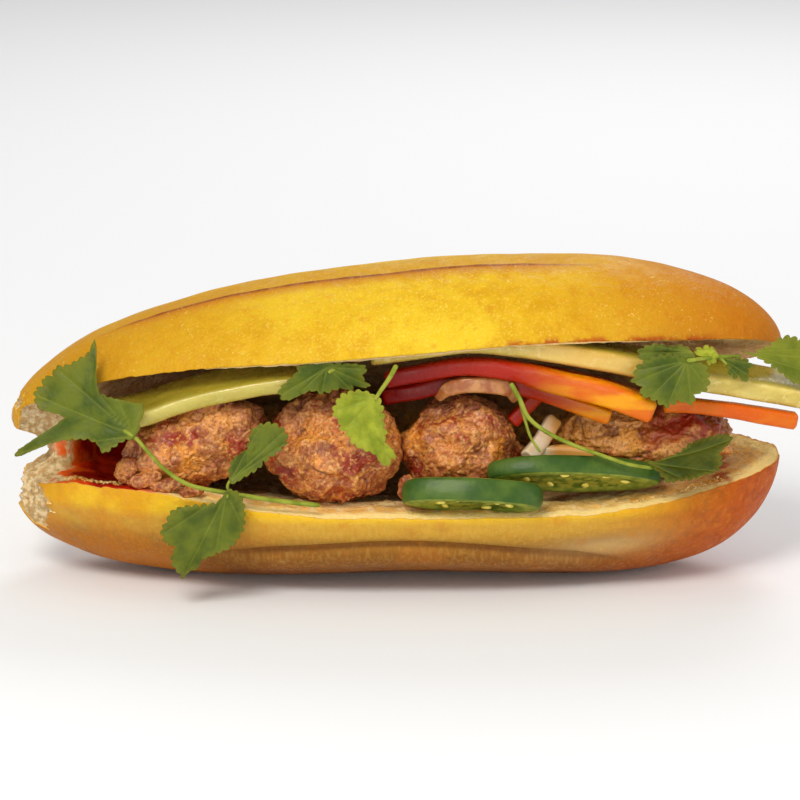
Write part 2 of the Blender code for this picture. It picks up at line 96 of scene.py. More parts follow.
def smooth(start, end, value):
    share = min(max((value - start) / (end - start), 0.0), 1.0)
    return share * share * (3.0 - 2.0 * share)


def bell(value, centre, width):
    return math.exp(-(((value - centre) / width) ** 2))


def plan(x):
    """The loaf's half width at x, as a share of its half width in the middle."""
    u = min(abs(x) / (LOAF_LEFT if x < 0 else LOAF_RIGHT), 1.0)
    return (1.0 - u ** PLAN_POWER) ** PLAN_ROOT


def lip_height(x):
    rise = LIP_RISE_LEFT * smooth(-0.015, -0.080, x)
    rise -= LIP_DROOP_LEFT * smooth(-0.090, -0.112, x)
    nose = max((x - 0.050) / 0.060, 0.0)
    return LIP_HEIGHT + rise + LIP_RISE_RIGHT * min(nose, 1.0) ** 1.5


def sole_depth(x):
    u = min(abs(x) / (LOAF_LEFT if x < 0 else LOAF_RIGHT), 1.0)
    root = 0.48 if x < 0 else 0.54
    return (lip_height(x) + SOLE_SINK) * (1.0 - u ** SOLE_POWER) ** root


def crown_centre(x):
    return CROWN_CENTRE + x * CROWN_SLOPE


def side_fold(x, below):
    """The depth of the crease in the sole's side, where it folded as the loaf was pressed."""
    crease = CREASE_TURN + 0.21 * (x / 0.047) ** 2
    fold = CREASE_DEPTH * smooth(-0.062, -0.035, x) * (1.0 - smooth(0.048, 0.070, x))
    fold *= bell(below, crease, 0.055) - 0.50 * bell(below, crease + 0.22, 0.14)
    return fold + 0.0014 * bell(x, 0.056, 0.011) * bell(below, 0.46, 0.13)


def sole_point(x, angle):
    """A point of the sole half's crust: half a turn is the front lip, a full turn the hinge."""
    fold = side_fold(x, angle - math.pi)
    half = HALF_WIDTH * plan(x) - fold
    y = half * math.cos(angle)
    arch = ARCH * bell(x, 0.010, 0.034) * bell(angle - math.pi, 1.15, 0.35)
    z = lip_height(x) + (sole_depth(x) - fold) * math.sin(angle) + arch
    return Vector((x, y, max(z, 0.0)))


def shelf_share(angle):
    """How far a turn is across the slash: 0 at its rear edge, 1 at its raised lip."""
    return max(min((angle - SLASH_REAR) / (SLASH_LIP - SLASH_REAR), 2.0), 0.0)


def slash_ends(x):
    ends = smooth(SLASH_LEFT, SLASH_LEFT + 0.022, x)
    return ends * (1.0 - smooth(SLASH_RIGHT - 0.030, SLASH_RIGHT, x))


def crown_point(x, angle):
    """A point of the crown half's crust: zero is the hinge, half a turn the front lip."""
    shelf = shelf_share(angle)
    dip = shelf * (1.0 - smooth(0.93, 1.07, shelf)) * SLASH_DEPTH * slash_ends(x)
    across = (HALF_WIDTH * plan(x) - dip) * math.cos(angle)
    up = (CROWN_HEIGHT * plan(x) - dip) * math.sin(angle)
    y = CROWN_BACK + across * math.cos(CROWN_TILT) + up * math.sin(CROWN_TILT)
    z = crown_centre(x) - across * math.sin(CROWN_TILT) + up * math.cos(CROWN_TILT)
    return Vector((x, y, z))


def crown_turn(share):
    part = (share - HINGE_SHARE) / (CROWN_SHARE - HINGE_SHARE)
    return HINGE_TURN + part * (math.pi + OVERRUN - HINGE_TURN)


def loaf_point(x, share):
    """A point of the opened, unslit loaf, going round from the front lip under the sole."""
    front, back = math.pi, 2 * math.pi
    if share < SOLE_SHARE:
        part = share / SOLE_SHARE
        return sole_point(x, front - OVERRUN + part * (front + OVERRUN - HINGE_TURN))
    if share < HINGE_SHARE:
        part = (share - SOLE_SHARE) / (HINGE_SHARE - SOLE_SHARE)
        turn = HINGE_TURN * (2 * part - 1)
        return sole_point(x, back + turn).lerp(crown_point(x, turn), smooth(0, 1, part))
    if share < CROWN_SHARE:
        return crown_point(x, crown_turn(share))
    part = (share - CROWN_SHARE) / (1.0 - CROWN_SHARE)
    return crown_point(x, front + OVERRUN).lerp(sole_point(x, front - OVERRUN), part)


def new_piece(name, bm, surfaces=(), node=None, slot=None):
    """Makes the piece's object from its finished bmesh, and hands it to the frame."""
    mesh = bpy.data.meshes.new(name)
    bm.to_mesh(mesh)
    bm.free()
    mesh.shade_smooth()
    piece = bpy.data.objects.new(name, mesh)
    bpy.context.scene.collection.objects.link(piece)
    for surface in surfaces:
        mesh.materials.append(surface)
    if slot:
        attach(piece, "root")
    if node:
        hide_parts(node)
    return piece


def uneven(point, scale, seed=0.0):
    """Smooth noise from -1 to 1 in metres of wavelength."""
    return noise.noise(Vector((point.x / scale + seed, point.y / scale - seed, point.z / scale)))


LOAF_SIDES = 300
LOAF_RINGS = 230

crust_mesh = bmesh.new()
bmesh.ops.create_uvsphere(crust_mesh, u_segments=LOAF_SIDES, v_segments=LOAF_RINGS, radius=1.0)
slash_marks = []
for vert in crust_mesh.verts:
    u = max(min(vert.co.z, 1.0), -1.0)
    share = (math.atan2(vert.co.y, vert.co.x) / (2 * math.pi)) % 1.0
    x = u * (LOAF_LEFT if u < 0 else LOAF_RIGHT)
    point = loaf_point(x, share)
    on_crown = HINGE_SHARE <= share < CROWN_SHARE
    shelf = shelf_share(crown_turn(share)) if on_crown else 0.0
    within = shelf if shelf < 1.05 else 0.0
    edge = bell(shelf, 1.085, 0.045)
    under = 1.0 - smooth(1.06, 1.42, shelf) if shelf > 1.0 else 0.0
    below = (share / SOLE_SHARE) * (math.pi + OVERRUN - HINGE_TURN) - OVERRUN
    on_side = share < SOLE_SHARE
    fold = side_fold(x, below) if on_side else 0.0
    press = bell(x, 0.058, 0.015) * bell(below, 0.47, 0.15) if on_side else 0.0
    ends = slash_ends(x)
    slash_marks.append((within * ends, edge * ends, under * ends, smooth(0.43, 0.48, share),
                        fold, press))
    swell = 0.00045 * uneven(point, 0.030) + 0.00022 * uneven(point, 0.009, 5.0)
    if on_crown:
        swell -= 0.0006 * bell(shelf, 1.0, 0.06) * uneven(point, 0.006, 9.0) * slash_ends(x)
    centre = Vector((x, 0.0, lip_height(x) if share < 0.455 else crown_centre(x)))
    out = (point - centre).normalized() if (point - centre).length > 0.001 else Vector()
    if point.z > 0.0015:
        point += out * swell
    vert.co = point
bmesh.ops.recalc_face_normals(crust_mesh, faces=crust_mesh.faces)
crust_tree = bvhtree.BVHTree.FromBMesh(crust_mesh)
crust_places = kdtree.KDTree(len(crust_mesh.verts))
for index, vert in enumerate(crust_mesh.verts):
    crust_places.insert(vert.co, index)
crust_places.balance()


# ---------------------------------------------------------------- shared finishes
# Food surfaces vary at every scale, so these groups give all materials the same two effects: soft
# mottling between two tones, and a fine relief.

def add_node(tree, kind, settings=None, **sockets):
    made = tree.nodes.new(kind)
    for key, value in (settings or {}).items():
        setattr(made, key, value)
    for name, value in sockets.items():
        socket = made.inputs[name.replace("_", " ")]
        if isinstance(value, bpy.types.NodeSocket):
            tree.links.new(value, socket)
        else:
            socket.default_value = value
    return made


def new_group(name, inputs, outputs):
    group = bpy.data.node_groups.new(name, "ShaderNodeTree")
    for label, kind, value in inputs:
        socket = group.interface.new_socket(label, in_out="INPUT", socket_type=kind)
        socket.default_value = value
    for label, kind in outputs:
        group.interface.new_socket(label, in_out="OUTPUT", socket_type=kind)
    return group, group.nodes.new("NodeGroupInput"), group.nodes.new("NodeGroupOutput")


mottling, given, result = new_group(
    "mottling",
    (("Scale", "NodeSocketFloat", 100.0), ("Detail", "NodeSocketFloat", 3.0),
     ("Stretch", "NodeSocketVector", (1.0, 1.0, 1.0)), ("Low", "NodeSocketFloat", 0.4),
     ("High", "NodeSocketFloat", 0.6)),
    (("Mask", "NodeSocketFloat"),),
)
place = add_node(mottling, "ShaderNodeTexCoord")
stretched = add_node(mottling, "ShaderNodeVectorMath", {"operation": "MULTIPLY"})
mottling.links.new(place.outputs["Object"], stretched.inputs[0])
mottling.links.new(given.outputs["Stretch"], stretched.inputs[1])
cloud = add_node(mottling, "ShaderNodeTexNoise", Vector=stretched.outputs[0],
                 Scale=given.outputs["Scale"], Detail=given.outputs["Detail"])
spread = add_node(mottling, "ShaderNodeMapRange", {"interpolation_type": "SMOOTHSTEP"},
                  Value=cloud.outputs[0], From_Min=given.outputs["Low"],
                  From_Max=given.outputs["High"])
mottling.links.new(spread.outputs[0], result.inputs["Mask"])

relief, given, result = new_group(
    "relief",
    (("Scale", "NodeSocketFloat", 1000.0), ("Detail", "NodeSocketFloat", 3.0),
     ("Depth", "NodeSocketFloat", 0.0001), ("Normal", "NodeSocketVector", (0.0, 0.0, 0.0))),
    (("Normal", "NodeSocketVector"),),
)
place = add_node(relief, "ShaderNodeTexCoord")
grain = add_node(relief, "ShaderNodeTexNoise", Vector=place.outputs["Object"],
                 Scale=given.outputs["Scale"], Detail=given.outputs["Detail"])
raised = add_node(relief, "ShaderNodeBump", Strength=1.0, Distance=given.outputs["Depth"],
                  Height=grain.outputs[0], Normal=given.outputs["Normal"])
relief.links.new(raised.outputs[0], result.inputs["Normal"])


class Finish:
    """A material under construction: its tree, its shader, and the shared groups to place in it."""

    def __init__(self, name, **shader):
        self.material = bpy.data.materials.new(name)
        self.material.use_nodes = True
        self.tree = self.material.node_tree
        self.shader = self.tree.nodes["Principled BSDF"]
        for label, value in shader.items():
            self.shader.inputs[label.replace("_", " ")].default_value = value

    def node(self, kind, settings=None, **sockets):
        return add_node(self.tree, kind, settings, **sockets)

    def mottle(self, scale, low=0.4, high=0.6, detail=3.0, stretch=(1.0, 1.0, 1.0)):
        return self.node("ShaderNodeGroup", {"node_tree": mottling}, Scale=scale, Detail=detail,
                         Stretch=stretch, Low=low, High=high).outputs[0]

    def relief(self, scale, depth, detail=3.0, normal=None):
        given = {"Normal": normal} if normal else {}
        return self.node("ShaderNodeGroup", {"node_tree": relief}, Scale=scale, Detail=detail,
                         Depth=depth, **given).outputs[0]

    def ramp(self, value, low, high):
        return self.node("ShaderNodeMapRange", {"interpolation_type": "SMOOTHSTEP"}, Value=value,
                         From_Min=low, From_Max=high).outputs[0]

    def math(self, operation, first, second):
        made = self.node("ShaderNodeMath", {"operation": operation})
        for socket, value in zip(made.inputs, (first, second)):
            if isinstance(value, bpy.types.NodeSocket):
                self.tree.links.new(value, socket)
            else:
                socket.default_value = value
        return made.outputs[0]

    def place(self, axis):
        """The X, Y or Z place of a point in the object, in metres."""
        coordinates = self.node("ShaderNodeTexCoord")
        parts = self.node("ShaderNodeSeparateXYZ", Vector=coordinates.outputs["Object"])
        return parts.outputs[axis]

    def mark(self, name):
        return self.node("ShaderNodeAttribute", {"attribute_name": name}).outputs["Fac"]

    def blend(self, mask, below, above):
        """Colour below where the mask is 0, colour above where it is 1."""
        mix = self.node("ShaderNodeMix", {"data_type": "RGBA"})
        for index, value in ((0, mask), (6, below), (7, above)):
            if isinstance(value, bpy.types.NodeSocket):
                self.tree.links.new(value, mix.inputs[index])
            else:
                mix.inputs[index].default_value = value
        return mix.outputs[2]

    def wear(self, **sockets):
        """Links values that vary over the surface to the shader's sockets."""
        for label, value in sockets.items():
            self.tree.links.new(value, self.shader.inputs[label.replace("_", " ")])


def tone(red, green, blue):
    """A colour given as it looks on a screen, 0 to 255, in the shader's linear terms."""
    return tuple((part / 255) ** 2.2 for part in (red, green, blue)) + (1.0,)


# ---------------------------------------------------------------- bread
# The crust is baked golden, browner along the slash's raised lip and at the ends, and tan towards
# the sole. The cut faces are open, ragged crumb, and sauce has soaked into it at the left.
# Some of this is painted light: the lip's dark line is deepened as painted shade, the sole half
# darkens towards the bottom partly as painted shade, the crumb darkens deep in the slit as
# painted shade, and it is lightened along the lips as painted light.

crust = Finish("crust_and_crumb", Roughness=0.5, Specular_IOR_Level=0.15,
               Subsurface_Weight=0.12, Subsurface_Scale=0.003)
x_place, y_place, z_place = crust.place("X"), crust.place("Y"), crust.place("Z")
depth = crust.mark("depth")
shelf = crust.mark("shelf")
on_crown = crust.mark("crown")

golden = crust.blend(crust.mottle(170, 0.35, 0.65), tone(208, 162, 20), tone(220, 178, 30))
golden = crust.blend(crust.mottle(45, 0.42, 0.68, 2.0), golden, tone(226, 192, 42))
golden = crust.blend(crust.math("MULTIPLY", crust.mottle(240, 0.52, 0.74, 4.0), 0.34), golden,
                     tone(200, 134, 18))
golden = crust.blend(crust.math("MULTIPLY", crust.mottle(1500, 0.53, 0.66, 2.0), 0.38), golden,
                     tone(246, 212, 84))
golden = crust.blend(crust.math("MULTIPLY", crust.ramp(x_place, 0.012, 0.105), 0.90), golden,
                     tone(186, 104, 16))
golden = crust.blend(crust.math("MULTIPLY", crust.ramp(x_place, 0.000, -0.095), 0.75), golden,
                     tone(188, 128, 20))
ridge = crust.math("MULTIPLY", crust.ramp(shelf, 0.0, 0.45), 0.55)
golden = crust.blend(ridge, golden, tone(190, 132, 16))
golden = crust.blend(crust.math("MULTIPLY", crust.mark("under"), 0.90), golden, tone(184, 108, 10))
# Dark line along the slash's raised lip: partly the lip's own browning, partly painted shade of the step.
lip_line = crust.math("MULTIPLY", crust.mark("edge"),
                      crust.math("ADD", 0.65, crust.math("MULTIPLY", crust.mottle(300), 0.35)))
golden = crust.blend(lip_line, golden, tone(122, 58, 12))
# The sole half goes from bright yellow at the lip to dark tan at the bottom: partly its own baked colour,
# partly painted shade towards the underside.
tan = crust.blend(crust.ramp(z_place, 0.0264, 0.0225), tone(236, 192, 38), tone(202, 156, 58))
tan = crust.blend(crust.ramp(z_place, 0.0225, 0.013), tan, tone(140, 92, 36))
tan = crust.blend(crust.ramp(z_place, 0.014, 0.003), tan, tone(126, 66, 24))
tan = crust.blend(crust.math("MULTIPLY", crust.mottle(1100, 0.42, 0.68, 3.0, (1.0, 1.0, 0.22)), 0.15),
                  tan, tone(232, 190, 102))
tan = crust.blend(crust.math("MULTIPLY", crust.mottle(75, 0.50, 0.66, 4.0), 0.34), tan,
                  tone(184, 110, 36))
russet = crust.blend(crust.math("MULTIPLY", crust.mottle(330, 0.44, 0.66, 4.0), 0.60),
                     tone(182, 84, 18), tone(148, 62, 14))
russet = crust.blend(crust.math("MULTIPLY", crust.mottle(600, 0.48, 0.70, 4.0), 0.30), russet,
                     tone(214, 126, 40))
amber = crust.math("MULTIPLY", crust.ramp(x_place, -0.020, -0.090), crust.mottle(60, 0.30, 0.62))
tan = crust.blend(crust.math("MULTIPLY", amber, 0.60), tan, tone(202, 122, 30))
tan = crust.blend(crust.ramp(x_place, 0.045, 0.100), tan, russet)
# Painted shade: a dark line along the crease in the sole's side.
fold_line = crust.math("MULTIPLY", crust.ramp(crust.mark("fold"), 0.0004, 0.0014), 0.66)
tan = crust.blend(fold_line, tan, tone(118, 68, 28))
tan = crust.blend(crust.math("MULTIPLY", crust.mark("pale"), 0.90), tan, tone(204, 166, 106))
baked = crust.blend(on_crown, tan, golden)
stain = crust.math("MULTIPLY", crust.mark("stain"), crust.mottle(260, 0.36, 0.56))
baked = crust.blend(crust.math("MULTIPLY", stain, 0.85), baked, tone(160, 46, 18))
freckles = crust.math("MULTIPLY", crust.mottle(900, 0.60, 0.72, 3.0), crust.mottle(110, 0.3, 0.7))
freckles = crust.math("MULTIPLY", freckles,
                      crust.math("ADD", 0.12, crust.math("MULTIPLY", on_crown, 0.26)))
baked = crust.blend(freckles, baked, tone(255, 226, 128))
scorch = crust.math("MULTIPLY", crust.mottle(420, 0.56, 0.74, 4.0), 0.30)
baked = crust.blend(scorch, baked, tone(200, 124, 32))
crumb = crust.blend(crust.mottle(260, 0.38, 0.62), tone(220, 180, 112), tone(244, 216, 158))
crumb = crust.blend(crust.math("MULTIPLY", crust.mottle(800, 0.54, 0.66), 0.35), crumb,
                    tone(182, 134, 74))
# Painted shade: the crumb darkens deep in the slit, towards the hinge.
inner = crust.math("MULTIPLY", crust.ramp(y_place, -0.016, 0.006),
                   crust.ramp(x_place, 0.078, 0.060))
inner = crust.math("MULTIPLY", inner, crust.ramp(x_place, -0.092, -0.080))
crumb = crust.blend(crust.math("MULTIPLY", inner, 0.72), crumb, tone(112, 66, 36))
open_right = crust.math("MULTIPLY", crust.ramp(x_place, 0.045, 0.090), 0.65)
crumb = crust.blend(open_right, crumb, tone(190, 142, 92))
low_half = crust.ramp(z_place, 0.042, 0.036)
# Golden band of crumb near the crust on the lower lip: partly toasted crumb, partly painted light where the
# crumb lies in shade.
toast = crust.math("MULTIPLY", crust.ramp(depth, 0.0130, 0.0050), low_half)
toast = crust.math("MULTIPLY", toast, crust.math("MULTIPLY", crust.mottle(420, 0.34, 0.60), 0.75))
crumb = crust.blend(toast, crumb, tone(240, 178, 78))
# Pale crumb along the lower lip, lightened past its own colour as painted light where it lies in shade.
rim = crust.math("MULTIPLY", crust.ramp(depth, 0.0062, 0.0034), low_half)
crumb = crust.blend(crust.math("MULTIPLY", rim, 0.8), crumb, tone(255, 226, 150))
# Painted light: the crumb on the crown's underside near its lip is lightened, though it faces down into
# shade.
roof_rim = crust.math("MULTIPLY", crust.ramp(depth, 0.0075, 0.0040), crust.ramp(z_place, 0.042, 0.048))
roof_rim = crust.math("MULTIPLY", roof_rim, crust.ramp(y_place, -0.010, -0.020))
crumb = crust.blend(crust.math("MULTIPLY", roof_rim, 0.8), crumb, tone(255, 226, 160))
pale = crust.ramp(x_place, -0.090, -0.100)
torn = crust.blend(crust.mottle(500, 0.42, 0.60, 4.0), tone(190, 156, 106), tone(226, 202, 158))
crumb = crust.blend(pale, crumb, torn)
ragged_x = crust.math("ADD", x_place, crust.math("MULTIPLY", crust.mottle(160, 0.3, 0.7), 0.006))
sauced = crust.math("MULTIPLY", crust.ramp(ragged_x, -0.0955, -0.0925),
                    crust.ramp(x_place, -0.060, -0.075))
sauced = crust.math("MULTIPLY", sauced, crust.ramp(z_place, 0.044, 0.036))
sauce_tone = crust.blend(crust.mottle(120, 0.40, 0.62, 2.0), tone(150, 22, 12), tone(206, 52, 18))
sauce_tone = crust.blend(crust.ramp(ragged_x, -0.086, -0.093), sauce_tone, tone(226, 92, 24))
crumb = crust.blend(sauced, crumb, sauce_tone)
smear = crust.math("MULTIPLY", crust.ramp(x_place, 0.0885, 0.0910), crust.ramp(x_place, 0.0960, 0.0935))
smear = crust.math("MULTIPLY", smear, crust.math("MULTIPLY", crust.mottle(240, 0.40, 0.56), 0.7))
crumb = crust.blend(crust.math("MULTIPLY", smear, low_half), crumb, tone(176, 52, 22))
crust_edge = crust.blend(crust.ramp(depth, 0.0003, 0.0009), tone(226, 172, 78), crumb)
is_crumb = crust.ramp(depth, 0.00005, 0.0003)
is_wet = crust.math("MULTIPLY", is_crumb, sauced)
is_dry = crust.math("SUBTRACT", is_crumb, crust.math("MULTIPLY", is_wet, 0.85))
crumb_relief = crust.relief(700, crust.math("MULTIPLY", is_dry, 0.0009), 4.0)
uneven_shine = crust.math("MULTIPLY", crust.mottle(120), 0.14)
leather = crust.math("SUBTRACT", 0.00085, crust.math("MULTIPLY", is_wet, 0.0007))
crust.wear(
    Base_Color=crust.blend(is_crumb, baked, crust_edge),
    Roughness=crust.math("SUBTRACT", crust.math("ADD", crust.math("MULTIPLY", is_crumb, 0.35),
                                                crust.math("ADD", 0.46, uneven_shine)),
                         crust.math("MULTIPLY", is_wet, 0.50)),
    Normal=crust.relief(1500, 0.00016, 2.0, crust.relief(300, leather, 4.0, crumb_relief)),
)


def slit_back(x):
    """How far back the slit reaches: to the hinge, through it at the right, a notch at the left."""
    web = HINGE - 0.024 * smooth(0.070, 0.112, x)
    deep = HALF_WIDTH * plan(x) - web
    return deep + (NOTCH_BACK - deep) * smooth(NOTCH_FROM, NOTCH_TO, x)


def slit_floor(x, y):
    middle = max(1.0 - ((y - 0.004) / 0.026) ** 2, 0.0)
    trough = TROUGH * middle * smooth(-0.100, -0.075, x) * (1.0 - smooth(0.036, 0.062, x))
    lip = -HALF_WIDTH * plan(x)
    bevel = 0.0024 * (1.0 - smooth(lip, lip + 0.0085, y)) * smooth(-0.085, -0.045, x)
    return lip_height(x) - trough - bevel + 0.006 * smooth(0.0, 0.034, y)


def slit_roof(x, y):
    level = crown_centre(x) - (y - CROWN_BACK) * math.tan(CROWN_TILT)
    half = max(HALF_WIDTH * plan(x), 0.001)
    middle = max(1.0 - ((y + 0.003) / (0.66 * half)) ** 2, 0.0)
    ends = smooth(-0.100, -0.075, x) * (1.0 - smooth(0.075, 0.100, x))
    hollow = HOLLOW * middle * plan(x) ** 1.5 * ends
    return level + hollow + KNIFE_DRIFT * (bell(x, -0.068, 0.035) + 0.1 * bell(x, 0.045, 0.030)
                                          - 0.42 * bell(x, 0.080, 0.030))


def ragged(x, y, seed):
    """Torn crumb stands up and down by about half a millimetre, in flakes and holes."""
    point = Vector((x, y, seed))
    return 0.0005 * uneven(point, 0.0045) + 0.0006 * uneven(point, 0.0020, 3.0)


SLIT_COLUMNS = 260
SLIT_ROWS = 80
SLIT_FRONT = -0.055
slit_mesh = bmesh.new()
bmesh.ops.create_grid(slit_mesh, x_segments=SLIT_COLUMNS, y_segments=SLIT_ROWS, size=1.0)
raised = bmesh.ops.extrude_face_region(slit_mesh, geom=slit_mesh.faces[:])["geom"]
for vert in raised:
    if isinstance(vert, bmesh.types.BMVert):
        vert.co.z = 1.0
for vert in slit_mesh.verts:
    s, t, v = vert.co
    x = 0.002 + 0.124 * math.sin(s * math.pi / 2)
    back = slit_back(x)
    lip = min(CROWN_BACK - 0.92 * HALF_WIDTH * plan(x), back - 0.006)
    y = SLIT_FRONT if t < -0.999 else lip + (back - lip) * (t + 1.0) / 2
    place = Vector((x, y, 0.0))
    inside = smooth(lip, lip + 0.010, y)
    if v > 0.5:
        z = slit_roof(x, y) + ragged(x, y, 1.0) * (0.35 + 0.65 * inside)
    else:
        z = slit_floor(x, y) + ragged(x, y, 2.0) * (0.8 + 0.2 * inside)
    vert.co = (x, y, z)
bmesh.ops.recalc_face_normals(slit_mesh, faces=slit_mesh.faces)
slit = new_piece("slit_cutter", slit_mesh)

tear_mesh = bmesh.new()
bmesh.ops.create_grid(tear_mesh, x_segments=110, y_segments=150, size=1.0)
raised = bmesh.ops.extrude_face_region(tear_mesh, geom=tear_mesh.faces[:])["geom"]
for vert in raised:
    if isinstance(vert, bmesh.types.BMVert):
        vert.co.z = 1.0
for vert in tear_mesh.verts:
    t, v, s = vert.co
    y, z = 0.032 * t, 0.038 + 0.040 * v
    x = -0.150
    if s > 0.5:
        pit = TEAR_PIT * math.exp(-(((z - 0.0352) / 0.0058) ** 4))
        slant = min(TEAR_SLANT * max(-y - 0.002, 0.0), 0.008) * (1.0 - smooth(0.027, 0.033, z))
        x = TEAR_AT + max(pit, slant) - TEAR_SHRED * bell(z, 0.0455, 0.0030)
        x += 0.0016 * noise.noise(Vector((3.0, y * 180, z * 180))) + 2.0 * ragged(y, z, 4.0)
        x += 0.0020 * abs(noise.noise(Vector((7.0, y * 420, z * 420))))
        x += 0.0009 * noise.noise(Vector((9.0, y * 1100, z * 1100)))
    vert.co = (x, y, z)
bmesh.ops.recalc_face_normals(tear_mesh, faces=tear_mesh.faces)
tear = new_piece("tear_cutter", tear_mesh)

loaf = new_piece("loaf", crust_mesh, [crust.material], "bread", "crust")
for cutter in (slit, tear):
    step = loaf.modifiers.new("Cut", "BOOLEAN")
    step.operation = "DIFFERENCE"
    step.solver = "EXACT"
    step.object = cutter
cut = bpy.data.meshes.new_from_object(loaf.evaluated_get(bpy.context.evaluated_depsgraph_get()))
loaf.modifiers.clear()
loaf.data = cut
for cutter in (slit, tear):
    bpy.data.objects.remove(cutter)

marks = {"depth": []}
for label in ("shelf", "edge", "under", "crown", "fold", "pale", "stain"):
    marks[label] = []
for vert in cut.vertices:
    x, y, z = vert.co
    marks["depth"].append(crust_tree.find_nearest(vert.co)[3])
    nearest = slash_marks[crust_places.find(vert.co)[1]]
    for label, value in zip(("shelf", "edge", "under", "crown", "fold", "pale"), nearest):
        marks[label].append(value)
    reach = smooth(0.020, 0.034, x) * (1.0 - smooth(0.082, 0.094, x)) * (y < 0.0)
    marks["stain"].append(reach * bell(z - slit_roof(x, y), 0.0003, 0.0011))
for label, values in marks.items():
    cut.attributes.new(label, "FLOAT", "POINT").data.foreach_set("value", values)
cut.shade_smooth()


# ---------------------------------------------------------------- meatballs
# Four hand-rolled pork meatballs, browned and then simmered in a red sauce. Their outside is
# creased and grainy with clots of mince, the sauce lies in the creases and its oil shines. The
# creases are also darkened as painted shade, the ridges carry a painted highlight, and the sliced
# ball is lightened as painted light.

meat = Finish("saucy_meatball", Roughness=0.42, Specular_IOR_Level=0.5, Coat_Weight=0.18,
              Coat_Roughness=0.22, Subsurface_Weight=0.05, Subsurface_Scale=0.002)
brown = meat.blend(meat.mottle(150, 0.36, 0.62), tone(164, 94, 54), tone(216, 138, 74))
brown = meat.blend(meat.math("MULTIPLY", meat.mottle(75, 0.51, 0.62, 4.0), 0.85), brown,
                   tone(236, 150, 44))
# The sliced ball is more golden: partly its own colour, partly painted light where the carrots shade it.
sliced = meat.ramp(meat.place("X"), 0.038, 0.046)
brown = meat.blend(meat.math("MULTIPLY", sliced, 0.55), brown, tone(240, 176, 84))
high = meat.math("MULTIPLY", meat.ramp(meat.place("Z"), 0.043, 0.052), 0.42)
brown = meat.blend(high, brown, tone(184, 116, 92))
low = meat.math("MULTIPLY", meat.ramp(meat.place("Z"), 0.042, 0.027), 0.70)
brown = meat.blend(low, brown, tone(146, 54, 22))
brown = meat.blend(meat.math("MULTIPLY", meat.mottle(80, 0.51, 0.60, 5.0, (1.0, 1.0, 1.2)), 0.85),
                   brown, tone(154, 34, 12))
brown = meat.blend(meat.math("MULTIPLY", meat.mottle(700, 0.50, 0.64, 3.0), 0.58), brown,
                   tone(238, 182, 108))
# Painted highlight: the raised ridges are lightened to golden.
brown = meat.blend(meat.math("MULTIPLY", meat.ramp(meat.mark("ridge"), 0.55, 0.98), 0.45), brown,
                   tone(236, 164, 74))
brown = meat.blend(meat.math("MULTIPLY", meat.mottle(1100, 0.50, 0.62, 2.0), 0.48), brown,
                   tone(108, 42, 20))
# Dark red-brown in the creases: partly sauce, partly painted shade.
brown = meat.blend(meat.math("MULTIPLY", meat.ramp(meat.mark("crease"), 0.30, 0.95), 0.62), brown,
                   tone(104, 36, 18))
red_side = meat.math("MULTIPLY", meat.ramp(meat.place("X"), 0.062, 0.078),
                     meat.ramp(meat.place("Z"), 0.038, 0.046))
brown = meat.blend(meat.math("MULTIPLY", red_side, meat.mottle(140, 0.36, 0.54)), brown,
                   tone(158, 44, 20))
meat.wear(Base_Color=brown,
          Roughness=meat.math("ADD", 0.32, meat.math("MULTIPLY", meat.mottle(240), 0.3)),
          Normal=meat.relief(2400, 0.00014, 2.0, meat.relief(1000, 0.00030, 3.0)))


def form_meat(bm, centre, radii, turn, bumps=(), cut_top=None, fineness=7, coarse=1.0):
    """An uneven ball with broken ridges and a coarse mince grain, turned about Y.

    A bump is its direction from the centre, its spread and its height, both in millimetres.
    """
    ball = bmesh.ops.create_icosphere(bm, subdivisions=fineness, radius=1.0)["verts"]
    shift = Vector(centre) * 900
    level = Matrix.Rotation(-math.radians(turn), 3, "Y")
    creases, ridges = bm.verts.layers.float["crease"], bm.verts.layers.float["ridge"]
    for vert in ball:
        way = vert.co.normalized()
        lump = 0.10 * noise.noise(way * 1.7 + shift) + 0.06 * noise.noise(way * 4.1 + shift)
        point = way * (1.0 + lump - 0.03)
        if cut_top is not None and point.z > cut_top:
            point.z = cut_top + 0.25 * (point.z - cut_top)
        point = level @ Vector([size * value for size, value in zip(radii, point)])
        out = (level @ Vector([value / size for size, value in zip(radii, way)])).normalized()
        place = (point + shift * 0.01) * 1000 / coarse
        warp = place + 1.3 * noise.noise_vector(place / 3.0)
        near, far = noise.voronoi(Vector((warp.x / 2.6, warp.y / 2.6, warp.z / 1.8)))[0][:2]
        clot = max(1.0 - near * near * 1.6, 0.0)
        gap = 1.0 - smooth(0.0, 0.28, far - near)
        facet = noise.noise(place / 7.0)
        ridge = max(1.0 - abs(noise.noise(warp / 8.5 - shift)) * 3.4, 0.0)
        slant = warp.x * 0.6 - warp.z * 0.8
        strand = noise.noise(Vector((slant / 0.9, warp.y / 1.8, (warp.x + warp.z) / 3.6)))
        fissure = max(1.0 - abs(noise.noise(place / 6.5 + shift)) * 7.0, 0.0)
        fissure *= smooth(-0.05, 0.25, noise.noise(place / 9.0 - shift))
        height = 2.0 * facet + 0.50 * ridge * ridge + 0.38 * clot + 0.46 * strand - 0.50 * fissure
        height += 0.20 * noise.noise(place / 1.2) + 0.12 * noise.noise(place / 0.6)
        height -= 0.06 * gap + 0.45
        for toward, spread, tall in bumps:
            toward = Vector(toward).normalized()
            turned = (point.normalized() - toward).length * point.length * 1000
            height += tall * math.exp(-((turned / spread) ** 2))
        vert.co = point + out * (height * 0.001 * coarse) + Vector(centre)
        vert[creases] = min(0.40 * gap + fissure + 0.5 * max(-strand, 0.0), 1.0)
        vert[ridges] = ridge


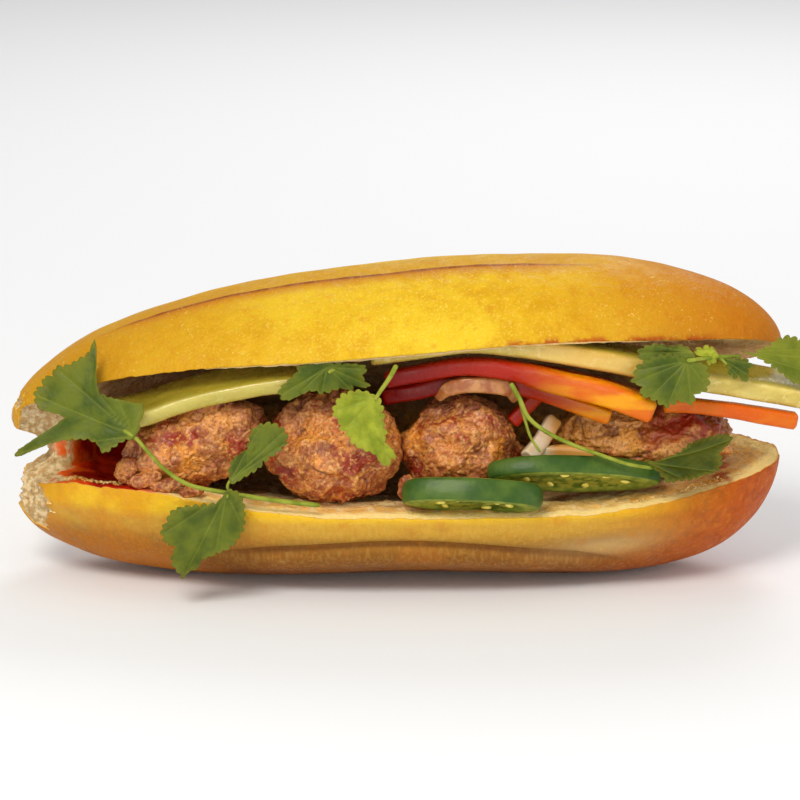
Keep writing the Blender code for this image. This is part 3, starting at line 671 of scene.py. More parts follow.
def roll_meatball(name, node, centre, radii, turn, bumps, cut_top=None):
    bm = bmesh.new()
    for label in ("crease", "ridge"):
        bm.verts.layers.float.new(label)
    form_meat(bm, centre, radii, turn, bumps, cut_top)
    return new_piece(name, bm, [meat.material], node, "meat")


roll_meatball("left_meatball", "meatball_1", (-0.0580, -0.0105, 0.0405),
              (0.0212, 0.0170, 0.0134), 17, (((0.62, -0.35, 0.70), 6.5, 2.4), ((-0.8, -0.5, 0.1), 6.0, 1.0)))
roll_meatball("middle_left_meatball", "meatball_2", (-0.0190, -0.0150, 0.0404),
              (0.0192, 0.0180, 0.0168), 0, (((-0.60, -0.50, 0.55), 8.0, -3.0), ((0.45, -0.5, 0.65), 6.0, 1.6),
                                           ((-0.6, -0.7, -0.5), 6.0, 1.2)))
roll_meatball("middle_right_meatball", "meatball_3", (0.0172, -0.0085, 0.0383),
              (0.0172, 0.0155, 0.0155), 8, (((0.45, -0.5, 0.8), 6.0, 1.6), ((-0.9, -0.4, 0.2), 5.0, 1.0)))
roll_meatball("sliced_meatball", "meatball_4", (0.0697, -0.0025, 0.0409),
              (0.0264, 0.0165, 0.0120), -2, (((-0.8, -0.4, 0.45), 5.0, 1.4), ((0.8, -0.5, 0.3), 6.0, 0.8)),
              cut_top=0.62)


# ---------------------------------------------------------------- cucumber
# Two long slabs cut lengthwise. Each has wet, pale flesh, greener towards the thin dark skin that
# is left along its lower edge, and it is tucked under the crown half. The top face is darkened
# partly as painted shade from the crown half.

def along(points, share):
    """A point and a direction on the smooth curve that runs through the points."""
    spans = len(points) - 1
    place = min(share, 0.999999) * spans
    index = int(place)
    t = place - index
    b, c = Vector(points[index]), Vector(points[index + 1])
    a = Vector(points[index - 1]) if index > 0 else b + (b - c)
    d = Vector(points[index + 2]) if index + 2 <= spans else c + (c - b)
    square, cube = 2 * a - 5 * b + 4 * c - d, 3 * b - a - 3 * c + d
    point = 0.5 * (2 * b + (c - a) * t + square * t * t + cube * t ** 3)
    direction = 0.5 * ((c - a) + 2 * square * t + 3 * cube * t * t)
    return point, direction.normalized()


def cut_strip(name, surface, points, width, thick, steps, sides=28, square=0.45, roll=None,
              standing=(0, 0, 1), blunt=0.90, rough=0.0, taper=0.0, node=None, slot=None):
    """A knife-cut strip along a smooth route. Its width lies square to the route and to standing.

    The marks on it: how far along it a point is, across it, and up it, each from 0 to 1.
    """
    bm = bmesh.new()
    bmesh.ops.create_cone(bm, cap_ends=True, segments=sides, radius1=1.0, radius2=1.0, depth=1.0)
    bmesh.ops.rotate(bm, verts=bm.verts, cent=(0, 0, 0),
                     matrix=Matrix.Rotation(math.pi / sides, 3, "Z"))
    long_edges = [e for e in bm.edges if abs(e.verts[0].co.z - e.verts[1].co.z) > 0.5]
    bmesh.ops.subdivide_edges(bm, edges=long_edges, cuts=steps - 1)
    ends = [face for face in bm.faces if len(face.verts) == sides]
    bmesh.ops.inset_region(bm, faces=ends, thickness=0.25, use_even_offset=True)
    bmesh.ops.inset_region(bm, faces=ends, thickness=0.35, use_even_offset=True)
    names = ("along", "across", "up")
    layers = [bm.verts.layers.float.new(label) for label in names]
    for vert in bm.verts:
        share = min(max(vert.co.z + 0.5, 0.0), 1.0)
        point, forward = along(points, share)
        across = forward.cross(Vector(standing)).normalized()
        up = across.cross(forward)
        if roll:
            turn = Matrix.Rotation(roll(share), 3, forward)
            across, up = turn @ across, turn @ up
        a = math.copysign(abs(vert.co.x) ** square, vert.co.x)
        b = math.copysign(abs(vert.co.y) ** square, vert.co.y)
        end = blunt if share < 0.001 or share > 0.999 else 1.0
        for layer, value in zip(layers, (share, 0.5 + 0.5 * a, 0.5 + 0.5 * b)):
            vert[layer] = value
        spread = 1.0 + rough * uneven(point + across * a * 0.002, 0.009, b)
        slim = 1.0 - taper * smooth(0.45, 1.0, abs(2.0 * share - 1.0))
        vert.co = point + across * (a * end * width * spread * slim / 2)
        vert.co += up * (b * end * thick(share) * spread / 2)
    bmesh.ops.recalc_face_normals(bm, faces=bm.faces)
    piece = new_piece(name, bm, [surface], node, slot)
    return piece


def constant(value):
    return lambda share: value


cucumber = Finish("wet_cucumber", Roughness=0.30, Specular_IOR_Level=0.5, Coat_Weight=0.30,
                  Coat_Roughness=0.12, Subsurface_Weight=0.20, Subsurface_Scale=0.004)
up_mark, along_mark, across_mark = cucumber.mark("up"), cucumber.mark("along"), cucumber.mark("across")
flesh = cucumber.blend(cucumber.mottle(210, 0.35, 0.65, 3.0, (0.35, 1.0, 1.0)),
                       tone(196, 172, 74), tone(222, 202, 108))
flesh = cucumber.blend(cucumber.math("MULTIPLY", cucumber.mottle(500, 0.58, 0.68), 0.5), flesh,
                       tone(236, 224, 150))
flesh = cucumber.blend(cucumber.math("MULTIPLY", cucumber.ramp(cucumber.place("X"), 0.0, -0.04),
                                     0.6), flesh, tone(176, 170, 74))
middle = cucumber.math("MULTIPLY", cucumber.ramp(cucumber.place("X"), 0.030, 0.045),
                       cucumber.ramp(cucumber.place("X"), 0.078, 0.062))
flesh = cucumber.blend(cucumber.math("MULTIPLY", middle, 0.45), flesh, tone(214, 160, 74))
# The top face is darker olive green: partly its own greener flesh, partly painted shade under the crown half.
top_face = cucumber.blend(cucumber.mottle(160, 0.3, 0.7, 2.0, (0.3, 1.0, 1.0)),
                          tone(140, 128, 36), tone(170, 154, 52))
flesh = cucumber.blend(cucumber.ramp(up_mark, 0.80, 0.97), flesh, top_face)
skin_line = cucumber.math("MULTIPLY", cucumber.ramp(up_mark, 0.16, 0.02),
                          cucumber.ramp(along_mark, 0.55, 0.75))
flesh = cucumber.blend(skin_line, flesh, tone(96, 112, 40))
cucumber.wear(Base_Color=flesh,
              Roughness=cucumber.math("ADD", 0.2, cucumber.math("MULTIPLY", cucumber.mottle(300), 0.25)),
              Normal=cucumber.relief(900, 0.00010, 3.0, cucumber.relief(260, 0.0002)))

cut_strip("left_cucumber_slab", cucumber.material,
          [(-0.0850, -0.0160, 0.0490), (-0.0730, -0.0168, 0.0518), (-0.0630, -0.0172, 0.0554),
           (-0.0510, -0.0174, 0.0587), (-0.0400, -0.0174, 0.0609), (-0.0290, -0.0172, 0.0622)],
          0.0170, constant(0.0054), 70, roll=constant(math.radians(9)), rough=0.04,
          node="cucumber_left", slot="cucumber")
cut_strip("right_cucumber_slab", cucumber.material,
          [(-0.0080, -0.0170, 0.0672), (0.0100, -0.0172, 0.0697), (0.0230, -0.0172, 0.0709),
           (0.0430, -0.0172, 0.0690), (0.0620, -0.0165, 0.0665), (0.0850, -0.0140, 0.0617),
           (0.1000, -0.0115, 0.0585), (0.1150, -0.0085, 0.0550)],
          0.0165, lambda share: 0.0048 + 0.0020 * smooth(0.20, 0.50, share), 140,
          roll=lambda share: math.radians(-12 + 20 * smooth(0.35, 0.75, share)), rough=0.04,
          node="cucumber_right", slot="cucumber")


# ---------------------------------------------------------------- carrot and daikon strips
# Lightly pickled carrot and daikon, cut into strips with a knife. The carrot is wet and
# translucent, deep red towards the left, partly where the sauce has stained it and partly as
# painted shade under the crown half, darker on the strips further back as painted shade, and
# bright orange at its right end.

carrot = Finish("pickled_carrot", Roughness=0.3, Specular_IOR_Level=0.25, Coat_Weight=0.10,
                Coat_Roughness=0.12, Subsurface_Weight=0.15, Subsurface_Scale=0.003)
x_place = carrot.place("X")
orange = carrot.blend(carrot.mottle(260, 0.35, 0.65, 3.0, (0.25, 1.0, 1.0)), tone(216, 102, 4),
                      tone(232, 156, 4))
orange = carrot.blend(carrot.math("MULTIPLY", carrot.ramp(x_place, 0.066, 0.086), 0.7), orange,
                      tone(208, 86, 6))
# Painted shade: strips further back in the slit are darker red.
inner = carrot.math("MULTIPLY", carrot.ramp(carrot.place("Y"), -0.0235, -0.0205),
                    carrot.ramp(x_place, 0.068, 0.062))
orange = carrot.blend(carrot.math("MULTIPLY", inner, 0.75), orange, tone(192, 46, 8))
# Deep red towards the left: partly sauce stain, partly painted shade under the crown half.
orange = carrot.blend(carrot.ramp(x_place, 0.056, 0.030), orange, tone(166, 34, 8))
orange = carrot.blend(carrot.ramp(x_place, 0.026, -0.002), orange, tone(132, 12, 8))
carrot.wear(Base_Color=orange,
            Roughness=carrot.math("ADD", 0.18, carrot.math("MULTIPLY", carrot.mottle(400), 0.2)),
            Normal=carrot.relief(1200, 0.00008, 3.0, carrot.relief(320, 0.00015)))

CARROTS = (
    ((-0.0040, -0.0190, 0.0612), (0.0065, -0.0200, 0.0634), (0.0170, -0.0215, 0.0655),
     (0.0300, -0.0230, 0.0650), (0.0425, -0.0240, 0.0620), (0.0575, -0.0260, 0.0588),
     (0.0712, -0.0268, 0.0537)),
    ((-0.0050, -0.0110, 0.0540), (0.0050, -0.0120, 0.0562), (0.0150, -0.0135, 0.0588),
     (0.0260, -0.0150, 0.0594), (0.0360, -0.0170, 0.0580), (0.0470, -0.0190, 0.0548),
     (0.0595, -0.0215, 0.0508)),
    ((0.0425, -0.0115, 0.0578), (0.0370, -0.0118, 0.0522), (0.0318, -0.0122, 0.0468)),
    ((0.0300, -0.0165, 0.0642), (0.0450, -0.0175, 0.0622), (0.0590, -0.0185, 0.0588),
     (0.0700, -0.0195, 0.0545)),
    ((0.0745, -0.0200, 0.0540), (0.0850, -0.0200, 0.0535), (0.1000, -0.0180, 0.0508),
     (0.1125, -0.0160, 0.0482)),
)
CARROT_SIZES = ((0.0052, 0.0048, 0.0068), (0.0048, 0.0050, 0.0046), (0.0040, 0.0042, 0.0042),
                (0.0040, 0.0034, 0.0040), (0.0048, 0.0040, 0.0048))  # width, thickness at each end
for number, (route, (width, first, last)) in enumerate(zip(CARROTS, CARROT_SIZES), 1):
    cut_strip(f"carrot_strip_{number}", carrot.material, route, width,
              lambda share: first + (last - first) * smooth(0.35, 0.75, share),
              20 * (len(route) - 1), sides=20, blunt=0.72, rough=0.09,
              node=f"carrot_{number}", slot="carrot")

daikon = Finish("pickled_daikon", Roughness=0.25, Specular_IOR_Level=0.5, Coat_Weight=0.3,
                Coat_Roughness=0.10, Subsurface_Weight=0.35, Subsurface_Scale=0.005)
white = daikon.blend(daikon.mottle(260, 0.35, 0.65, 3.0, (0.4, 1.0, 1.0)), tone(222, 196, 160),
                     tone(238, 222, 194))
white = daikon.blend(daikon.ramp(daikon.place("X"), 0.040, 0.045), white, tone(214, 158, 84))
onion = daikon.blend(daikon.mottle(300, 0.38, 0.62), tone(164, 94, 50), tone(200, 140, 84))
white = daikon.blend(daikon.ramp(daikon.place("Z"), 0.050, 0.054), white, onion)
daikon.wear(Base_Color=white, Normal=daikon.relief(700, 0.0001))
DAIKON = (
    ((0.0112, -0.0165, 0.0556), (0.0138, -0.0195, 0.0586), (0.0190, -0.0212, 0.0602),
     (0.0260, -0.0212, 0.0600), (0.0306, -0.0198, 0.0586), (0.0324, -0.0165, 0.0552)),
    ((0.0440, -0.0120, 0.0475), (0.0400, -0.0175, 0.0425), (0.0362, -0.0220, 0.0390)),
    ((0.0395, -0.0178, 0.0388), (0.0470, -0.0182, 0.0392), (0.0550, -0.0188, 0.0384)),
)
DAIKON_SIZES = ((0.0046, 0.0036), (0.0046, 0.0036), (0.0046, 0.0034))
DAIKON_TAPERS = (0.45, 0.0, 0.0)
for number, (route, (width, thick), taper) in enumerate(
        zip(DAIKON, DAIKON_SIZES, DAIKON_TAPERS), 1):
    cut_strip(f"daikon_strip_{number}", daikon.material, route, width, constant(thick),
              14 * (len(route) - 1), sides=20, rough=0.05, taper=taper, standing=(0, -1, 0),
              node=f"daikon_{number}", slot="daikon")


# ---------------------------------------------------------------- green chilli slices
# Two thick slices of green chilli, cut aslant: a glossy dark skin round a paler wall, and inside
# it spongy pith with flat yellow seeds.

chilli = Finish("green_chilli", Roughness=0.3, Specular_IOR_Level=0.22, Coat_Weight=0.07,
                Coat_Roughness=0.12)
inside = chilli.mark("inside")
skin = chilli.blend(chilli.mottle(160, 0.35, 0.65), tone(54, 84, 34), tone(78, 104, 42))
wall = chilli.blend(chilli.mottle(400, 0.35, 0.65), tone(104, 122, 44), tone(140, 150, 60))
pith = chilli.blend(chilli.mottle(380, 0.4, 0.6), tone(84, 104, 34), tone(150, 152, 60))
green = chilli.blend(chilli.ramp(inside, 0.20, 0.34), skin, wall)
green = chilli.blend(chilli.ramp(inside, 0.66, 0.80), green, pith)
chilli.wear(Base_Color=green,
            Roughness=chilli.math("ADD", 0.40, chilli.math("MULTIPLY", chilli.ramp(inside, 0.2, 0.4), 0.2)),
            Normal=chilli.relief(700, 0.00012))
seed_finish = Finish("chilli_seed", Roughness=0.35)
seed_finish.wear(Base_Color=seed_finish.blend(seed_finish.mottle(900), tone(232, 216, 84),
                                              tone(250, 240, 130)))


def slice_chilli(name, node, centre, radii, thick, tilt, turn, roll, seed):
    bm = bmesh.new()
    half, sunk, wall_at = thick / 2, 0.0011, 0.72
    profile = [(0, sunk - half, 1), (0.25, sunk - half, 1), (0.45, sunk - half, 1),
               (wall_at - 0.08, sunk - half, 0.9), (wall_at, -half, 0.5), (0.84, -half, 0.45),
               (0.95, -half, 0.4), (1.0, 0.0005 - half, 0.1), (1.02, -half / 2, 0), (1.03, 0, 0),
               (1.02, half / 2, 0), (1.0, half - 0.0005, 0.1), (0.95, half, 0.4), (0.84, half, 0.45),
               (wall_at, half, 0.5), (wall_at - 0.08, half - sunk, 0.9), (0.45, half - sunk, 1),
               (0.25, half - sunk, 1), (0, half - sunk, 1)]
    marks = bm.verts.layers.float.new("inside")
    verts = []
    for radius, z, mark in profile:
        vert = bm.verts.new((radius, 0, z))
        vert[marks] = mark
        verts.append(vert)
    edges = [bm.edges.new(pair) for pair in zip(verts, verts[1:])]
    bmesh.ops.spin(bm, geom=verts + edges, axis=(0, 0, 1), cent=(0, 0, 0), steps=96,
                   angle=2 * math.pi, use_merge=True)
    bmesh.ops.remove_doubles(bm, verts=bm.verts, dist=0.00001)
    for vert in bm.verts:
        around = math.atan2(vert.co.y, vert.co.x)
        radius = math.hypot(vert.co.x, vert.co.y)
        wavy = 1.0 + 0.02 * math.sin(3 * around + seed) + 0.012 * math.sin(7 * around + 2 * seed)
        rib = 0.06 * math.sin(3 * around + seed) * smooth(0.85, 0.6, radius) * (vert[marks] > 0.45)
        vert.co.x *= radii[0] * (wavy + rib)
        vert.co.y *= radii[1] * (wavy + rib)
        if vert[marks] > 0.8:
            vert.co.z += 0.0005 * uneven(vert.co * 3.0, 0.008, seed)
    lean = Matrix.Rotation(roll, 4, "Y") @ Matrix.Rotation(-tilt, 4, "X")
    place = Matrix.Translation(centre) @ Matrix.Rotation(turn, 4, "Z") @ lean
    bmesh.ops.transform(bm, matrix=place, verts=bm.verts)
    bmesh.ops.recalc_face_normals(bm, faces=bm.faces)
    piece = new_piece(name, bm, [chilli.material], node, "green_chilli")
    step = piece.modifiers.new("Round", "SUBSURF")
    step.levels = step.render_levels = 1

    seeds = bmesh.new()
    dice = random.Random(seed)
    for number in range(12):
        around = 2 * math.pi * (number + dice.random() * 0.6) / 12
        out = dice.uniform(0.45, 0.62)
        face = 1 if number % 2 else -1
        spot = Matrix.Translation((radii[0] * out * math.cos(around),
                                   radii[1] * out * math.sin(around),
                                   face * (half - sunk + 0.0002)))
        size = Matrix.Diagonal((0.0016, 0.0011, 0.0005, 1.0))
        spin = Matrix.Rotation(dice.uniform(0, 3), 4, "Z") @ Matrix.Rotation(
            dice.uniform(-0.5, 0.5), 4, "X")
        bmesh.ops.create_icosphere(seeds, subdivisions=2, radius=1.0,
                                   matrix=place @ spot @ spin @ size)
    new_piece(f"{name}_seeds", seeds, [seed_finish.material], None, "green_chilli")


turn = math.radians
slice_chilli("front_chilli_slice", "chilli_1", (0.0203, -0.0332, 0.0312), (0.0194, 0.0080),
             0.0068, turn(30), turn(-3), turn(1.5), 3)
slice_chilli("rear_chilli_slice", "chilli_2", (0.0490, -0.0236, 0.0347), (0.0244, 0.0084),
             0.0056, turn(36), turn(6), turn(3), 8)


# ---------------------------------------------------------------- coriander
# Five fresh sprigs, laid in last. A leaf is a thin fan of toothed lobes with a vein down each, dull
# above and paler along the veins, on a thin, juicy, lighter stem. A leaf lying in shade is darkened
# in its colour as painted shade.

leaf = Finish("coriander_leaf", Roughness=0.5, Specular_IOR_Level=0.22, Subsurface_Weight=0.12,
              Subsurface_Scale=0.002)
vein = leaf.mark("vein")
tip = leaf.mark("tip")
youth = leaf.mark("youth")
leaf_green = leaf.blend(leaf.mottle(150, 0.34, 0.66, 4.0), tone(62, 82, 20), tone(94, 108, 32))
young_green = leaf.blend(leaf.mottle(190, 0.35, 0.65), tone(118, 134, 30), tone(156, 166, 48))
leaf_green = leaf.blend(youth, leaf_green, young_green)
# Painted shade: a negative mark darkens a leaf that lies in shade.
leaf_green = leaf.blend(leaf.ramp(youth, 0.0, -1.0), leaf_green, tone(46, 56, 18))
leaf_green = leaf.blend(leaf.math("MULTIPLY", leaf.ramp(tip, 0.75, 1.0), 0.35), leaf_green,
                        tone(124, 124, 36))
leaf_green = leaf.blend(leaf.math("MULTIPLY", vein, 0.26), leaf_green, tone(148, 160, 66))
leaf_green = leaf.blend(leaf.mark("stem"), leaf_green,
                        leaf.blend(leaf.mottle(240, 0.35, 0.65), tone(116, 132, 38),
                                   tone(150, 160, 60)))
leaf.wear(Base_Color=leaf_green,
          Roughness=leaf.math("ADD", 0.44, leaf.math("MULTIPLY", leaf.mottle(300), 0.2)),
          Normal=leaf.relief(900, 0.00012))


BLADE_AROUND = 200
BLADE_ROWS = 36


def grow_blade(bm, layers, heart, facing, outline, root, tips, droop=0.0, young=0.0):
    """One leaflet, drawn flat in millimetres right and up of its heart for someone it faces.

    Its edge runs smoothly through the outline and is finely toothed. A vein runs from the root to
    each tip, with side veins, and the blade is quilted between them.
    """
    facing = Vector(facing).normalized()
    right = (Vector((1, 0, 0)) - facing * facing.x).normalized()
    up = facing.cross(right)
    edge, walked = [], 0.0
    for number in range(BLADE_AROUND):
        spot = number / BLADE_AROUND * len(outline)
        index, t = int(spot), spot % 1.0
        a, b, c, d = [Vector(outline[(index + k) % len(outline)]) for k in (-1, 0, 1, 2)]
        point = 0.5 * (2 * b + (c - a) * t + (2 * a - 5 * b + 4 * c - d) * t * t
                       + (3 * b - a - 3 * c + d) * t ** 3)
        walked += (point - edge[-1]).length if edge else 0.0
        edge.append(point)
    teeth = max(round(walked / 2.3), 1)
    steps = [(edge[i] - edge[i - 1]).length for i in range(BLADE_AROUND)]
    passed = 0.0
    for i in range(BLADE_AROUND):
        passed += steps[i]
        tooth = abs(math.sin(math.pi * passed / sum(steps) * teeth)) ** 0.6
        away = (edge[i] - Vector(root)).length
        edge[i] = edge[i] + edge[i].normalized() * (1.20 * tooth - 0.70) * smooth(0.5, 2.5, away)
    longest = max(point.length for point in edge)
    bmesh.ops.create_circle(bm, cap_ends=True, cap_tris=True, segments=BLADE_AROUND, radius=1.0)
    blank = [vert for vert in bm.verts if vert[layers[4]] == 0.0]
    spokes = [e for vert in blank if vert.co.length < 0.001 for e in vert.link_edges]
    bmesh.ops.subdivide_edges(bm, edges=spokes, cuts=BLADE_ROWS - 1)
    blank = [vert for vert in bm.verts if vert[layers[4]] == 0.0]
    veins = [(Vector(tip) - Vector(root)) for tip in tips]
    for vert in blank:
        share = min(vert.co.length, 1.0)
        turn = math.atan2(vert.co.y, vert.co.x) % (2 * math.pi)
        spot = edge[round(turn / (2 * math.pi) * BLADE_AROUND) % BLADE_AROUND] * share
        strength, nearest = 0.0, 9.0
        for vein in veins:
            length = vein.length
            offset = spot - Vector(root)
            down = offset.dot(vein) / length
            across = abs(offset.x * vein.y - offset.y * vein.x) / length
            if down < 0.0 or down > length * 1.02:
                continue
            width = 0.30 - 0.16 * down / length
            strength = max(strength, math.exp(-((across / width) ** 2)))
            if across < nearest:
                nearest = across
                branch = ((down - 1.2 * across) / 2.4) % 1.0 - 0.5
                side = 0.22 * math.exp(-((branch / 0.09) ** 2)) * (across < 3.6)
        if nearest < 9.0:
            strength = max(strength, side)
        quilt = 1.0 - math.exp(-((min(nearest, 3.0) / 0.8) ** 2)) - 0.5 * strength
        height = 0.32 * quilt * smooth(0.0, 0.3, share) - droop * (spot.length / longest) ** 2
        flat = Vector(heart) + (right * spot.x + up * spot.y) * 0.001
        height += (1.1 * uneven(flat, 0.0085, 2.0) + 0.3) * share
        vert.co = flat + facing * (height * 0.001)
        for layer, value in zip(layers, (strength, share, young, 0.0, 1.0)):
            vert[layer] = value
    faces = list({face for vert in blank for face in vert.link_faces})
    under = bmesh.ops.extrude_face_region(bm, geom=faces)["geom"]
    for vert in under:
        if isinstance(vert, bmesh.types.BMVert):
            vert.co -= facing * 0.0003
            vert[layers[4]] = 1.0


def grow_stem(bm, layers, points, radius=0.0008, end=0.7):
    steps, sides = 10 * (len(points) - 1), 14
    bmesh.ops.create_cone(bm, cap_ends=True, segments=sides, radius1=1.0, radius2=1.0, depth=1.0)
    long_edges = [edge for edge in bm.edges if edge.verts[0][layers[4]] == 0.0
                  and abs(edge.verts[0].co.z - edge.verts[1].co.z) > 0.5]
    bmesh.ops.subdivide_edges(bm, edges=long_edges, cuts=steps - 1)
    for vert in bm.verts:
        if vert[layers[4]] > 0.0:
            continue
        share = min(max(vert.co.z + 0.5, 0.0), 1.0)
        point, forward = along(points, share)
        across = forward.cross(Vector((0.1, -1, 0.05))).normalized()
        up = across.cross(forward)
        around = math.atan2(vert.co.y, vert.co.x)
        size = radius * (1.0 + (end - 1.0) * share) * (1.0 + 0.10 * math.cos(5 * around))
        size *= 0.6 if share < 0.001 or share > 0.999 else 1.0
        vert.co = point + (across * vert.co.x + up * vert.co.y) * size
        for layer, value in zip(layers, (0.0, 0.0, 0.0, 1.0, 1.0)):
            vert[layer] = value


def grow_sprig(name, stems, blades):
    bm = bmesh.new()
    labels = ("vein", "tip", "youth", "stem", "grown")
    for label in labels:
        bm.verts.layers.float.new(label)
    layers = [bm.verts.layers.float[label] for label in labels]
    for number, points in enumerate(stems):
        grow_stem(bm, layers, points, 0.0005 if number else 0.0007)
    for blade in blades:
        grow_blade(bm, layers, **blade)
    bmesh.ops.recalc_face_normals(bm, faces=bm.faces)
    return new_piece(f"{name}_sprig", bm, [leaf.material], name, "coriander")


grow_sprig(
    "coriander_left",
    [
        ((-0.0225, -0.0352, 0.0288), (-0.0350, -0.0362, 0.0306), (-0.0475, -0.0358, 0.0325),
         (-0.0587, -0.0345, 0.0345), (-0.0657, -0.0330, 0.0385), (-0.0705, -0.0322, 0.0435),
         (-0.0738, -0.0316, 0.0472), (-0.0775, -0.0304, 0.0494)),
        ((-0.0472, -0.0358, 0.0322), (-0.0482, -0.0368, 0.0350), (-0.0462, -0.0372, 0.0385)),
        ((-0.0468, -0.0356, 0.0328), (-0.0478, -0.0385, 0.0335), (-0.0482, -0.0402, 0.0325)),
    ],
    [
        dict(heart=(-0.0870, -0.0270, 0.0525), facing=(-0.20, -0.90, 0.40), root=(12.8, -6.0),
             tips=((15.0, 2.0), (3.0, 5.5), (1.2, 20.0), (-9.0, 13.0), (-15.0, 6.0),
                   (-20.0, -9.5), (4.0, -10.0)),
             outline=((13.2, -6.2), (15.5, 2.0), (12.0, 3.4), (5.7, 5.0), (2.8, 6.5), (2.0, 10.0),
                      (1.4, 21.0), (-0.6, 17.8), (-2.8, 16.4), (-6.2, 14.7), (-9.9, 14.2),
                      (-11.3, 12.0), (-13.6, 11.3), (-14.2, 9.1), (-16.1, 7.9), (-15.6, 4.2),
                      (-13.6, 2.0), (-7.9, 0.3), (-9.3, -1.7), (-14.2, -4.8), (-18.4, -7.4),
                      (-21.2, -9.3), (-20.7, -10.8), (-16.1, -9.1), (-8.5, -6.8), (-4.8, -6.5),
                      (-0.8, -6.4), (2.3, -7.9), (4.2, -10.5), (7.6, -8.5), (9.9, -7.0))),
        dict(heart=(-0.0402, -0.0367, 0.0456), facing=(0.05, -0.98, 0.15), root=(-7.0, -8.6),
             tips=((1.0, 6.2), (8.0, 5.0), (8.0, 1.5), (2.5, -2.6)), droop=0.6,
             outline=((-7.3, -9.0), (-7.4, -5.6), (-6.1, -2.5), (-3.3, -0.6), (-1.9, 1.1),
                      (-1.4, 4.5), (1.1, 6.7), (4.2, 7.3), (6.4, 6.4), (8.3, 4.7), (8.6, 2.0),
                      (6.4, -0.6), (2.8, -3.1), (0.3, -5.6), (-3.3, -7.8), (-6.1, -9.5))),
        dict(heart=(-0.0540, -0.0402, 0.0233), facing=(0.03, -0.99, 0.05), root=(5.6, 10.4),
             tips=((9.5, 2.0), (2.6, -5.8), (-6.2, -13.0), (-11.8, -1.0), (-8.5, 5.5)), droop=0.8,
             outline=((5.6, 11.2), (7.8, 11.2), (10.2, 8.0), (10.5, 2.8), (9.7, -0.8),
                      (6.9, -4.8), (3.2, -6.5), (-1.4, -8.5), (-2.3, -10.8), (-5.1, -12.2),
                      (-6.5, -13.9), (-7.8, -12.7), (-9.7, -9.9), (-9.7, -7.1), (-8.9, -5.1),
                      (-11.6, -3.3), (-12.5, 0.0), (-11.1, 2.3), (-9.7, 5.2), (-6.5, 6.6),
                      (-3.3, 6.8), (-0.6, 7.1), (2.2, 7.3), (4.6, 9.4))),
    ],
)
grow_sprig(
    "coriander_edge",
    [((-0.0165, -0.0265, 0.0655), (-0.0185, -0.0278, 0.0662), (-0.0200, -0.0285, 0.0655))],
    [
        dict(heart=(-0.0218, -0.0286, 0.0641), facing=(0.0, -0.98, 0.1), root=(1.5, 3.0),
             tips=((-11.0, -4.5), (-6.0, -4.0), (0.0, -3.6), (7.5, -2.8), (12.5, -1.8), (11.0, 2.5)),
             outline=((-11.8, -3.1), (-11.5, -5.4), (-9.6, -6.3), (-6.8, -5.1), (-4.5, -4.0),
                      (-2.6, -3.4), (-0.3, -4.2), (2.5, -3.7), (5.1, -2.9), (7.9, -3.4),
                      (9.1, -1.7), (11.3, -2.8), (13.3, -2.3), (11.3, 0.0), (12.4, 2.9),
                      (9.6, 3.9), (5.1, 4.0), (-0.6, 4.2), (-6.0, 3.4), (-7.1, 1.4), (-9.3, -0.6))),
    ],
)
grow_sprig(
    "coriander_light",
    [((-0.0010, -0.0300, 0.0680), (-0.0030, -0.0330, 0.0650), (-0.0055, -0.0358, 0.0620),
      (-0.0070, -0.0374, 0.0600))],
    [
        dict(heart=(-0.0105, -0.0371, 0.0540), facing=(0.0, -0.99, 0.08), root=(3.6, 6.6),
             tips=((-2.6, 7.2), (-7.0, 3.0), (-5.0, -2.4), (7.0, -11.0), (5.6, -2.0)),
             young=1.0, droop=0.5,
             outline=((4.2, 7.0), (-0.6, 8.4), (-3.3, 8.1), (-5.6, 7.3), (-7.2, 5.0),
                      (-8.1, 2.2), (-6.4, 0.0), (-6.1, -2.0), (-3.9, -3.9), (-2.5, -6.4),
                      (1.4, -8.4), (3.9, -9.5), (4.5, -11.2), (6.7, -12.9), (8.1, -11.2),
                      (9.2, -9.8), (8.1, -7.8), (5.9, -6.7), (6.7, -3.4), (5.9, -1.1),
                      (5.9, 1.7), (5.3, 5.0))),
    ],
)
grow_sprig(
    "coriander_middle",
    [
        ((0.0310, -0.0285, 0.0625), (0.0335, -0.0300, 0.0582), (0.0360, -0.0302, 0.0530),
         (0.0414, -0.0306, 0.0487), (0.0492, -0.0310, 0.0450), (0.0560, -0.0312, 0.0425),
         (0.0640, -0.0314, 0.0398), (0.0710, -0.0300, 0.0382)),
        ((0.0332, -0.0299, 0.0588), (0.0348, -0.0290, 0.0530), (0.0366, -0.0285, 0.0470),
         (0.0395, -0.0288, 0.0425)),
    ],
    [
        # This leaf lies in shade: its negative value below darkens it as painted shade.
        dict(heart=(0.0812, -0.0272, 0.0392), facing=(0.12, -0.62, 0.77), root=(-11.5, -1.6),
             tips=((11.5, 7.5), (0.5, 5.0), (7.0, -2.4), (-2.5, -6.0)), droop=-0.8, young=-0.55,
             outline=((-12.0, -1.4), (-8.7, -0.5), (-2.8, 2.5), (0.6, 6.0), (4.8, 8.1),
                      (9.8, 9.1), (12.3, 8.8), (12.0, 6.7), (9.2, 3.5), (9.5, 0.4), (7.6, -2.8),
                      (4.8, -3.9), (0.6, -6.0), (-2.8, -7.0), (-6.2, -7.7), (-8.7, -4.9))),
    ],
)
